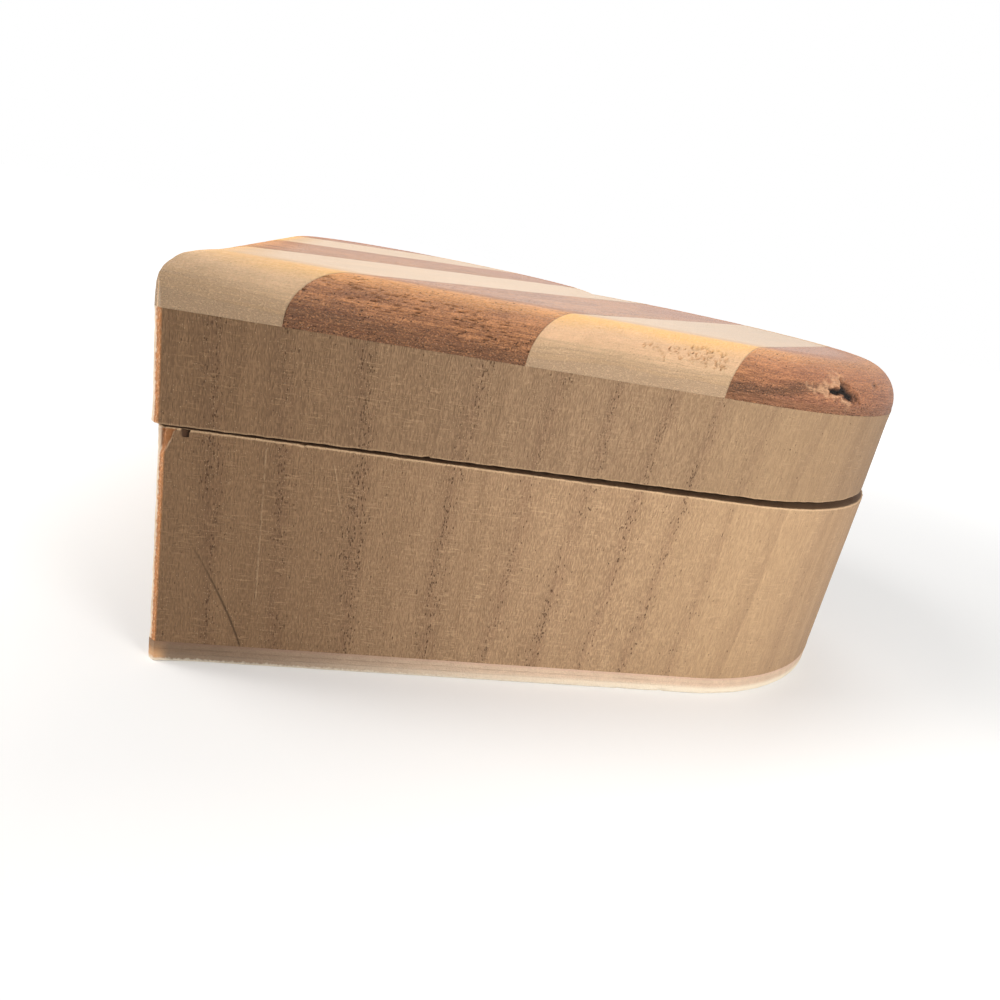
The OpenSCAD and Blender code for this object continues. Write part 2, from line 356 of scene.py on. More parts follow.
def make_piece(name, points, faces, material, body, slot, replaces, crease=40, **values):
    """Puts a worked-out surface into a mesh at the origin, with its material and body. slot is
    not used.
    values are numbers for each point, kept as attributes that the materials read."""
    points, faces, values = weld(points, faces, values)
    mesh = bpy.data.meshes.new(name)
    mesh.from_pydata(points.tolist(), [], faces)
    for key, value in values.items():
        kept = mesh.attributes.new(key, "FLOAT", "POINT")
        kept.data.foreach_set("value", value.astype(np.float32))
    mesh.polygons.foreach_set("use_smooth", np.ones(len(mesh.polygons), bool))
    mesh.set_sharp_from_angle(angle=math.radians(crease))
    mesh.materials.append(material)
    mesh.update()
    if mesh.validate():
        raise RuntimeError(f"{name} has faulty faces")
    piece = bpy.data.objects.new(name, mesh)
    bpy.context.scene.collection.objects.link(piece)
    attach(piece, body)
    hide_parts(*replaces)
    return piece


def wall_columns(h, tip_step, side_step, lobe_step):
    """Fractions along the outline's three parts, with the smallest steps next to the tip."""
    near_tip, lobe_turn = 14, 3.17
    steps = [0.0]
    while steps[-1] < h.side_len:
        growth = (side_step - tip_step) * min(1, steps[-1] / near_tip)
        steps.append(steps[-1] + tip_step + growth)
    steps = np.array(steps[:-1]) / steps[-1]
    lobes = int(h.lobe_r * lobe_turn / lobe_step)
    return [np.linspace(0, 1, 5)[:-1], steps, np.linspace(0, 1, lobes)]


def wall(h, z0, z1, corners, seed, on_lid, worked_by=None):
    """A wall: the outline's columns times a closed loop up the outer face, over the top rim,
    down the inner face and under the bottom rim. The right side, which the camera sees, has
    the closer columns. At each of the loop's corners, outer top, inner top, inner bottom and
    outer bottom, both faces draw back by soft(). corners gives each corner's radius as a
    function of the run along the outline. worked_by(run, z) gives how deep the outer face is
    torn out. The edge attribute is the distance from the nearest corner at the joint."""
    right = wall_columns(h, 0.13, 0.36, 0.62)
    left = wall_columns(h, 0.2, 0.8, 1.0)
    # One more column close to the notch between the lobes keeps its crease narrow.
    left[2] = np.insert(left[2], -1, 0.9997)
    sides = []
    for parts, sign in ((right, 1), (left, -1)):
        outer, inner = h.outline(0, parts), h.outline(h.wall_t, parts)
        run = h.outline_run(parts) * sign
        if sign < 0:
            outer, inner, run = (v[-2:0:-1] for v in (outer * [-1, 1], inner * [-1, 1], run))
        sides.append((outer, inner, run))
    outer, inner, run = (np.concatenate(v) for v in zip(*sides))
    run = run[:, None]
    tall = z1 - z0
    up = spaced(0, tall, 0.05, 0.95, 1.2)[:-1]
    down = spaced(0, tall, 0.06, 3, 1.6)[:-1]
    across = spaced(0, 1, 0.006, 0.13)[:-1]
    share = np.concatenate([0 * up, across, 0 * down + 1, 1 - across])[None]
    height = np.concatenate([up, 0 * across + tall, tall - down, 0 * across])[None]
    width = np.linalg.norm(inner - outer, axis=1)[:, None]
    inward = (inner - outer) / width
    depth, lift = width * share, height + 0 * width
    deeper, higher = 0, 0
    for radius, (from_in, from_top) in zip(corners, ((0, 1), (1, 1), (1, 0), (0, 0))):
        e = (width - depth if from_in else depth) + (tall - lift if from_top else lift)
        back = soft(e, radius(run))
        deeper = deeper + back * (-1 if from_in else 1)
        higher = higher + back * (-1 if from_top else 1)
    outside = (share == 0) & (height > 0)
    face = on_wall(run, lift + z0)
    wave = 0.035 * (1 + lumps(face, 9, seed)) + 0.012 * (1 + lumps(face, 2.2, seed + 1))
    left_corner = np.exp(-((run + 0.62) / 0.22) ** 2)
    wave = wave + 0.06 * (1 + lumps(face, 0.8, seed + 2)) * left_corner
    fade = unit(np.minimum(lift, tall - lift) / 1.5)
    deeper = deeper + wave * fade * np.where(outside, 1, 0.6 * (share == 0))
    torn = 0 * lift
    if worked_by:
        torn = worked_by(run, lift + z0) * (share == 0)
    xy = outer[:, None, :] + inward[:, None, :] * (depth + deeper + torn)[..., None]
    p = np.concatenate([xy, (lift + higher + z0)[..., None]], -1)
    n, m = p.shape[:2]
    open_top, open_low = (9, 0) if on_lid else (0, 9)
    edge = (np.minimum(depth, width - depth)
            + np.minimum(lift + open_low, tall - lift + open_top))
    full = np.broadcast_to
    return (h.to_row(p.reshape(-1, 3), on_lid), grid_faces(n, m),
            {"run": full(run, (n, m)).ravel(), "rise": (lift + z0).ravel(),
             "edge": np.minimum(edge, 3).ravel(), "torn": torn.ravel(),
             "outside": full(outside, (n, m)).ravel().astype(float)})


def arris(size, seed, chips=()):
    """Radius of a sanded corner along the run: size, made uneven, and larger at chips, which
    are (run, half width, radius)."""
    def radius(run):
        p = on_wall(run, 0.0)
        r = size * (1 + 0.55 * lumps(p, 1.3, seed) + 0.45 * lumps(p, 0.45, seed + 1))
        for at, half, deep in chips:
            r = r + deep * np.exp(-((run - at) / half) ** 4)
        return np.maximum(r, 0.01)
    return radius


def tip_tearout(run, z):
    """Depth torn out of the base next to the tip, in millimetres: a notch in the top edge,
    and a long flake that has lifted off the corner of the tip's flat."""
    p = on_wall(run, z)
    a = (run - NOTCH_RUN + 0.1 * lumps(p, 0.35, 51)) / NOTCH_HALF
    notch = 1.1 * np.exp(-a ** 4)
    notch = notch * unit((z - NOTCH_RISE - 0.25 * lumps(p, 0.4, 52)) / 0.12)
    line = 0.95 + (z - 29.2) * 0.36 + 0.08 * lumps(p, 0.6, 53)
    flake = unit((line - run) / 0.1) * unit((run + 0.45) / 0.15)
    flake = flake * unit((z - FLAKE_LOW) / 0.8) * np.clip((FLAKE_HIGH - z) / 0.1, 0.3, 1)
    return notch + 0.34 * flake * (0.8 + 0.3 * lumps(p, 0.5, 54))


def strip_grid(h, xs, near, flat, far):
    """Points of a strip's top over its columns xs. Along each column the rounded edge rises
    from the outline by equal angles, the top runs level, and the far edge falls the same way.
    Towards the tip the quarter circle becomes a fuller curve, 1 - (1 - depth)^power."""
    x = xs[:, None]
    ax = np.abs(x)
    start = np.maximum(h.flat_y - ax / math.tan(h.side_a), 0) * h.sin
    a0 = np.arccos(1 - start / h.round_r)
    up = a0 + (math.pi / 2 - a0) * np.linspace(0, 1, near)
    y_near = ax / math.tan(h.side_a) + h.round_r * (1 - np.cos(up)) / h.sin
    down = math.pi / 2 * np.linspace(1, 0, far)
    reach = h.lobe_r - h.round_r * (1 - np.cos(down))
    y_far = h.lobe_y + np.sqrt(reach ** 2 - (ax - h.lobe_x) ** 2)
    level = np.linspace(0, 1, flat + 2)[1:-1]
    y_flat = y_near[:, -1:] + (y_far[:, :1] - y_near[:, -1:]) * level
    rise = h.panel_t - h.round_r
    z = [rise + h.round_r * np.sin(up), np.full(y_flat.shape, h.panel_t),
         np.broadcast_to(rise + h.round_r * np.sin(down), y_far.shape)]
    y = np.concatenate([y_near, y_flat, y_far], 1)
    x = np.broadcast_to(x, y.shape)
    depth, run = h.to_edge(x, y)
    d = unit(depth / h.round_r)
    power = 2 + 0.8 * np.exp(-(run / 8) ** 2)
    fuller = rise + h.round_r * (1 - (1 - d) ** power) ** (1 / power)
    z = np.where((d < 1) & (y < h.lobe_y), fuller, np.concatenate(z, 1))
    return np.stack([x, y, z], -1)


def edge_strip_grid(h, inside, side, rows, across):
    """Points of an outermost strip's top: rows at equal steps along the heart's axis, each
    from the line x = inside to the outline, closer together towards the outline."""
    y0 = inside / math.tan(h.side_a)
    y1 = h.lobe_y + math.sqrt(h.lobe_r ** 2 - (inside - h.lobe_x) ** 2)
    y = np.interp(rows, [0, 1], [y0, y1])[None]
    touch = h.lobe_y - h.lobe_r * h.sin
    arc = h.lobe_x + np.sqrt(np.maximum(h.lobe_r ** 2 - (y - h.lobe_y) ** 2, 0))
    out = np.where(y < touch, y * math.tan(h.side_a), arc)
    share = 1 - np.linspace(1, 0, across)[:, None] ** 2
    x = inside + (np.maximum(out, inside) - inside) * share
    y = np.broadcast_to(y, x.shape)
    if side < 0:
        x, y = -x[::-1], y[::-1]
    depth, _ = h.to_edge(x, y)
    return np.stack([x, y, h.panel_top(np.maximum(depth, 0))], -1)


def strip_points(h, top, worked_by):
    """A strip's top and underside. The top is worked by moving each point along its normal
    by worked_by(run, up, p), which gives millimetres, and what is hollow and what is torn,
    from 0 to 1. The columns at the glue lines stay in their plane."""
    depth, run = h.to_edge(top[..., 0], top[..., 1])
    up = h.up_edge(np.maximum(depth, 0))
    normal = grid_normals(top)
    normal[[0, -1], :, 0] = 0
    move, hollow, torn = worked_by(run * np.sign(top[..., 0] + 1e-9), up, top)
    x = top[..., 0]
    joint = np.minimum(np.abs(x - x[:1]), np.abs(x - x[-1:]))
    move = move - 0.04 * np.exp(-joint / 0.09)
    off_edge = unit((top[..., 2] - 0.1) / 0.4)
    worked = top + normal * (np.minimum(move, 0) * off_edge)[..., None]
    under = top * [1, 1, 0]
    p = np.concatenate([worked.reshape(-1, 3), under.reshape(-1, 3)]) + [0, 0, h.panel_z]
    low = np.zeros(run.size)
    both = lambda v, w: np.concatenate([np.ravel(v * np.ones(run.shape)), low + w])
    return p, {"run": both(run, 0), "up": both(up, np.where(depth < 0.4, 0.2, 20).ravel()),
               "edge": both(np.minimum(joint, 3), 3),
               "hollow": both(hollow, 0), "torn": both(torn, 0)}


def pits(run, up, p, places, ragged=0.2):
    """Torn-out pits at places, each (run, up, long, tall, deep, turn): a bell whose outline is
    bent by lumps, turned by turn radians, with one steep side, where a lip of torn wood
    stands. Returns the depth and the lips."""
    run = run + ragged * lumps(p, 0.45, 61)
    up = up + ragged * lumps(p, 0.38, 62)
    deep_all, lips = 0, 0
    for at, level, long, tall, deep, turn in places:
        c, s = math.cos(turn), math.sin(turn)
        a = (c * (run - at) + s * (up - level)) / long
        b = (c * (up - level) - s * (run - at)) / tall
        bell = np.exp(-(a * a + np.where(b < 0, 2.4 * b, b) ** 2) ** 1.5)
        deep_all = deep_all - deep * bell
        lips = lips + np.exp(-(a * a * 1.4 + ((b + 0.72) / 0.3) ** 2))
    return deep_all, unit(lips)


def scattered(seed, count, box, long, tall, deep, turn):
    """Places for pits: count of them at random in a box of run and up, each with its length,
    height, depth and turn from the ranges given."""
    rng = np.random.default_rng(seed)
    run0, run1, up0, up1 = box
    ranges = ((run0, run1), (up0, up1), long, tall, deep, turn)
    return np.stack([rng.uniform(*r, count) for r in ranges], 1)


def sanded(seed, coarse=0.02, fine=0.008):
    """A sanded surface: shallow lumps, a little finer than a fingertip can feel."""
    def worked_by(run, up, p):
        move = -coarse * (1 + lumps(p, 5, seed)) - fine * (1 + lumps(p, 0.9, seed + 1))
        return move, 0, 0
    return worked_by


def pitted(places, base, hollow, full_depth, torn, ragged=0.2):
    """A sanded surface with pits at places. Where they are full_depth millimetres deep they
    are marked as hollow by the share hollow, and their lips as torn by the share torn."""
    def worked_by(run, up, p):
        move, lips = pits(run, up, p, places, ragged)
        lips = lips * unit(-move / 0.01)
        return base(run, up, p)[0] + move, hollow * unit(-move / full_depth), torn * lips
    return worked_by


def torn_pale():
    """The right-hand pale strip: patches of torn grain on the upper part of its edge, darkened in
    the pits as painted shade.
    """
    places = np.concatenate([scattered(*patch, (0.5, 1.5)) for patch in PALE_PATCHES])
    return pitted(places, sanded(88), 0.36, 0.16, 0.9)


def mitre_chips(run, up, p):
    """The middle strip: small chips where the rounded edge turns at the tip."""
    base, _, _ = sanded(60, 0.03)(run, up, p)
    ragged = 0.07 * (1 + lumps(p, 0.7, 64)) * np.exp(-(p[..., 0] / 0.35) ** 2)
    return base - ragged * unit((up - 1) / 2) * (up < 14), 0, 0


def torn_brown():
    """The right-hand brown inner strip: short open pores in a slanting band."""
    rng = np.random.default_rng(21)
    count, first, last = 170, 15, 47
    at = rng.uniform(first, last, count)
    level = 7.4 - (at - first) * 0.17 + rng.normal(0, 1.3, count)
    size = rng.uniform(0.08, 0.17, count)
    turn = rng.uniform(-0.15, 0.3, count)
    places = np.stack([at, level, size * 2.4, size, size, turn], 1)
    places = places[(level > 0.8) & (level < 9)]
    return pitted(places, sanded(81, 0.03, 0.02), 0.38, 0.1, 0.5, 0.06)


def knotted(run, up, p):
    """The right-hand edge strip: a small knot, open and black. Its outline is three ragged
    ellipses, with torn wood to the left and below, and a smaller closed knot lies beyond."""
    ragged = 1 + 0.4 * lumps(p, 0.6, 5) + 0.2 * lumps(p, 0.3, 6)
    near = 9.0 + 0 * run
    for at, level, long, tall, slope in KNOT_ELLIPSES:
        a = (run - at) / long
        b = (up - level - slope * (run - at)) / tall
        near = np.minimum(near, np.sqrt(a * a + b * b))
    near = near / ragged
    hole = unit(1.3 - near) ** 1.3
    below = unit((2.9 - up) / 0.5) * unit(91.4 - run)
    side = unit(unit((90.4 - run) / 1.2) + below)
    rim = np.exp(-((near - 1.6 - 0.25 * lumps(p, 0.9, 9)) / 0.5) ** 2) * side
    rim = rim * unit(0.8 + 0.6 * lumps(p, 0.6, 10))
    at, level, long, tall = CLOSED_KNOT
    c = np.sqrt(((run - at) / long) ** 2 + ((up - level) / tall) ** 2) / ragged
    spot = np.exp(-c ** 3)
    base, _, _ = sanded(102, 0.03, 0.015)(run, up, p)
    gouge = unit(1.9 - near) * side
    move = base - 1.0 * hole - 0.16 * spot - 0.13 * gouge * (0.7 + 0.6 * lumps(p, 0.5, 12))
    dark = unit(hole * 1.5) + 0.6 * spot * (1 - hole)
    return move, dark, np.clip(rim, 0, 0.85) * (1 - unit(hole * 2))


class Tree:
    """Adds nodes to a node tree and links them. An input is given as a value or as the socket
    that feeds it."""

    def __init__(self, tree):
        self.tree = tree
        self.count = 0

    def add(self, kind, inputs=None, **settings):
        made = self.tree.nodes.new(kind)
        made.location = (self.count % 12 * 190, -(self.count // 12) * 260)
        self.count += 1
        for key, value in settings.items():
            setattr(made, key, value)
        for key, value in (inputs or {}).items():
            if isinstance(value, bpy.types.NodeSocket):
                self.tree.links.new(value, made.inputs[key])
            else:
                made.inputs[key].default_value = value
        return made

    def math(self, operation, *values):
        return self.add("ShaderNodeMath", dict(enumerate(values)), operation=operation).outputs[0]

    def times(self, product, *values):
        """The product of any number of values."""
        for value in values:
            product = self.math("MULTIPLY", product, value)
        return product

    def plus(self, a, b):
        return self.math("ADD", a, b)

    def minus(self, a, b):
        return self.math("SUBTRACT", a, b)

    def over(self, a, b):
        return self.math("DIVIDE", a, b)

    def times_plus(self, a, b, c):
        """a times b, plus c."""
        return self.math("MULTIPLY_ADD", a, b, c)

    def total(self, first, *more):
        """The sum of pairs of a value and its weight."""
        sum_up = self.times(*first)
        for value, weight in more:
            sum_up = self.times_plus(value, weight, sum_up)
        return sum_up

    def wandering(self, value, noise, by):
        """value moved by up to half of by to either side, as a noise has it."""
        return self.times_plus(self.minus(noise, 0.5), by, value)

    def step(self, value, low, high, at_low=0.0, at_high=1.0):
        """A smooth step from at_low to at_high between two values."""
        return self.add("ShaderNodeMapRange", {"Value": value, "From Min": low, "From Max": high,
                                               "To Min": at_low, "To Max": at_high},
                        interpolation_type="SMOOTHSTEP").outputs[0]

    def fall(self, value, low, high, at_high=0.0):
        """A smooth step down from 1."""
        return self.step(value, low, high, 1.0, at_high)

    def line(self, value, at, core, reach, strength=1.0):
        """strength where value is within core of at, and nothing beyond reach."""
        off = self.math("ABSOLUTE", self.minus(value, at))
        return self.step(off, core, reach, strength, 0.0)

    def joined(self, x, y, z):
        return self.add("ShaderNodeCombineXYZ", {0: x, 1: y, 2: z}).outputs[0]

    def on_vector(self, operation, a, b):
        return self.add("ShaderNodeVectorMath", {0: a, 1: b}, operation=operation).outputs[0]

    def scaled(self, vector, scale):
        return self.on_vector("MULTIPLY", vector, scale)

    def moved(self, vector, by):
        return self.on_vector("ADD", vector, by)

    def turned(self, vector, degrees):
        turn = tuple(math.radians(v) for v in degrees)
        return self.add("ShaderNodeMapping", {"Vector": vector, "Rotation": turn}).outputs[0]

    def object_place(self):
        """Object coordinates, in metres."""
        return self.add("ShaderNodeTexCoord").outputs["Object"]

    def object_mm(self):
        """Object coordinates, in millimetres."""
        return self.scaled(self.object_place(), PER_METRE)

    def attributes(self, *names):
        """The numbers that make_piece() keeps at each point, by name."""
        return [self.add("ShaderNodeAttribute", attribute_name=k).outputs["Fac"] for k in names]

    def mix(self, factor, a, b, blend="MIX"):
        a, b = ((*v, 1) if isinstance(v, tuple) else v for v in (a, b))
        return self.add("ShaderNodeMix", {0: factor, 6: a, 7: b}, data_type="RGBA",
                        blend_type=blend, clamp_factor=True).outputs[2]

    def noise(self, vector, scale, detail=2.0, rough=0.5, warp=0.0):
        inputs = {"Vector": vector, "Scale": scale, "Detail": detail, "Roughness": rough,
                  "Distortion": warp}
        return self.add("ShaderNodeTexNoise", inputs).outputs["Fac"]

    def patches(self, vector, stretch, limits, *noise):
        """A smooth step of a stretched noise. limits and noise are given as to step() and
        noise()."""
        return self.step(self.noise(self.scaled(vector, stretch), *noise), *limits)

    def group(self, name, **inputs):
        return self.add("ShaderNodeGroup", inputs, node_tree=bpy.data.node_groups[name]).outputs

    def seen(self):
        """1 for what the camera sees, itself or by reflection."""
        path = self.add("ShaderNodeLightPath").outputs
        return self.math("MAXIMUM", path["Is Camera Ray"], path["Is Glossy Ray"])


class Coat:
    """A colour built up in layers."""

    def __init__(self, tree, factor, a, b):
        self.tree = tree
        self.out = tree.mix(factor, a, b)

    def lay(self, tone, *shares, blend="MIX"):
        """Covers what is there with a tone, by the product of shares."""
        self.out = self.tree.mix(self.tree.times(*shares), self.out, tone, blend)


def new_group(name, **inputs):
    """A node group. inputs are its input sockets' names, each with a default value or the
    word vector. Returns its tree, its inputs, and a function that makes and feeds its
    outputs."""
    made = bpy.data.node_groups.new(name, "ShaderNodeTree")
    for label, value in inputs.items():
        kind = "NodeSocketVector" if value == "vector" else "NodeSocketFloat"
        socket = made.interface.new_socket(label, in_out="INPUT", socket_type=kind)
        if value != "vector":
            socket.default_value = value
    t = Tree(made)

    def give(**results):
        for label in results:
            made.interface.new_socket(label, in_out="OUTPUT", socket_type="NodeSocketFloat")
        t.add("NodeGroupOutput", results)

    return t, t.add("NodeGroupInput").outputs, give


def fibres_group():
    """Wood fibres along Z: broad streaks, and fine fibres, both from 0 to 1."""
    t, given, give = new_group("Fibres", Place="vector", Seed=0.0)
    place = t.moved(given["Place"], t.joined(given["Seed"], given["Seed"], given["Seed"]))
    give(Streaks=t.patches(place, (1, 1, 0.03), (0.28, 0.72), 0.55, 3, 0.6, 0.3),
         Fibres=t.patches(place, (1, 1, 0.11), (0.3, 0.7), 4.0, 3, 0.7))


def pores_group():
    """Open pores along Z: each cell of a stretched Voronoi pattern may hold one dark dash,
    more and larger ones where Band is high, with pale torn flecks between them. Width is a
    pore's in millimetres, and Long is how many times longer than wide it is."""
    t, given, give = new_group("Pores", Place="vector", Band=0.5, Width=0.3, Long=5.0, Flecks=0.5)
    band = given["Band"]

    def cells(vector):
        """Distance to the nearest cell's middle, and two random numbers of the cell."""
        cell = t.add("ShaderNodeTexVoronoi", {"Vector": vector, "Scale": 1.0}).outputs
        chance = t.add("ShaderNodeSeparateColor", {0: cell["Color"]}).outputs
        return cell["Distance"], chance["Red"], chance["Green"]

    def dashes(off, size, chance, share, soft_edge):
        """A dash in the share of cells whose chance is low."""
        kept = t.math("LESS_THAN", chance, share)
        return t.times(kept, t.step(t.minus(1.0, t.over(off, size)), 0.0, soft_edge))

    across = t.over(1.0, given["Width"])
    place = t.scaled(given["Place"], t.joined(across, across, t.over(across, given["Long"])))
    off, chance, other = cells(place)
    size = t.times_plus(other, 0.22, t.times_plus(band, 0.12, 0.17))
    dark = dashes(off, size, chance, t.times_plus(band, 0.6, 0.02), 0.5)
    off, chance, _ = cells(t.moved(t.scaled(place, (1.05, 1.05, 1.6)), (7.3, 2.1, 5.7)))
    share = t.times(given["Flecks"], t.times_plus(band, 0.85, 0.15))
    give(Pores=dark, Flecks=dashes(off, 0.34, chance, share, 0.6))


def grit_group():
    """Fine broken grain along Z: Grit is 0 in its dark grains, 1 in its pale ones and 0.5
    between. Fine is the number of grains per millimetre, and Long is how many times longer
    than wide they are."""
    t, given, give = new_group("Grit", Place="vector", Fine=5.0, Long=4.0)
    fine = given["Fine"]
    scale = t.joined(fine, fine, t.over(fine, given["Long"]))
    give(Grit=t.patches(given["Place"], scale, (0.3, 0.7), 1.0, 1, 0.6))


def sanding_group():
    """Sanding marks: fine broken lines along X, in patches. Place is in millimetres, and Fine
    is the number of lines per millimetre."""
    t, given, give = new_group("Sanding", Place="vector", Fine=5.0)
    scale = t.joined(0.42, given["Fine"], given["Fine"])
    lines = t.patches(given["Place"], scale, (0.52, 0.64), 1.0, 2, 0.6)
    patch = t.patches(given["Place"], (1, 1, 0.45), (0.42, 0.62, 0.1, 1.0), 0.3, 2)
    give(Marks=t.times(lines, patch))


def arris_wear_and_highlight_group():
    """Sanded arrises, to be made lighter with a painted highlight: 1 at an edge, fading over about
    Reach millimetres, unevenly.
    """
    t, given, give = new_group("Arris wear", Place="vector", Edge=1.0, Reach=0.3)
    uneven = t.times_plus(t.noise(given["Place"], 2.2, 3), 1.6, 0.2)
    near = t.over(given["Edge"], t.times(given["Reach"], uneven))
    give(Wear=t.fall(near, 0.25, 1.0))


def new_material(name):
    """An empty material and its tree."""
    material = bpy.data.materials.new(name)
    material.use_nodes = True
    material.node_tree.nodes.clear()
    return material, Tree(material.node_tree)


def tint(rgb, by, turn=(0, 0, 0)):
    """A colour made by times as bright, with turn added to each channel's factor."""
    return tuple(min(1.0, v * (by + k)) for v, k in zip(rgb, turn))


def wood_shader(t, colour_out, height, roughness, bump, specular=0.5):
    """Ends a wood material: colour, relief of bump metres and roughness."""
    relief = t.add("ShaderNodeBump", {"Height": height, "Distance": bump}).outputs[0]
    shader = t.add("ShaderNodeBsdfPrincipled", {"Base Color": colour_out, "Roughness": roughness,
                                                "Normal": relief, "Specular IOR Level": specular})
    t.add("ShaderNodeOutputMaterial", {"Surface": shader.outputs[0]})


def ring_number(t, value):
    """The number of the growth ring at value millimetres along the wall, with its fraction. A
    curve through RING_LINES gives it."""
    first, count = -RING_LINES[0], len(RING_LINES)
    share = t.times_plus(value, 1 / RING_SPAN, first / RING_SPAN)
    rings = t.add("ShaderNodeFloatCurve", {"Value": share})
    curve = rings.mapping.curves[0]
    spots = [((at + first) / RING_SPAN, k / count) for k, at in enumerate(RING_LINES)]
    curve.points[0].location, curve.points[1].location = spots[0], spots[-1]
    for spot in spots[1:-1]:
        curve.points.new(*spot)
    rings.mapping.update()
    return t.times(rings.outputs[0], float(count))


def drawn_line(t, run, rise, at, slope, width, low, high):
    """A thin line on the wall that passes run = at where rise = high, and leans by slope,
    from 1 on the line to 0 at width, between the heights low and high."""
    centre = t.times_plus(t.minus(high, rise), slope, at)
    return t.times(t.line(run, centre, width * 0.3, width),
                   t.step(rise, low, low + 1.5), t.fall(rise, high - 0.7, high))


def bowed_scratch(t, run, rise):
    """The dark scratch near the tip: it passes run = 2.9 at SCRATCH_TOP, leans by 0.6, bows
    and grows fainter upwards."""
    over_top = t.minus(rise, SCRATCH_TOP)
    bow = t.times(over_top, t.minus(rise, SCRATCH_MIDDLE), -0.00909)
    centre = t.plus(t.times_plus(over_top, -0.6, 2.9), bow)
    return t.times(t.line(run, centre, 0.05, 0.2),
                   t.step(rise, 3.0, 3.4), t.fall(rise, 8, 20, 0.15))


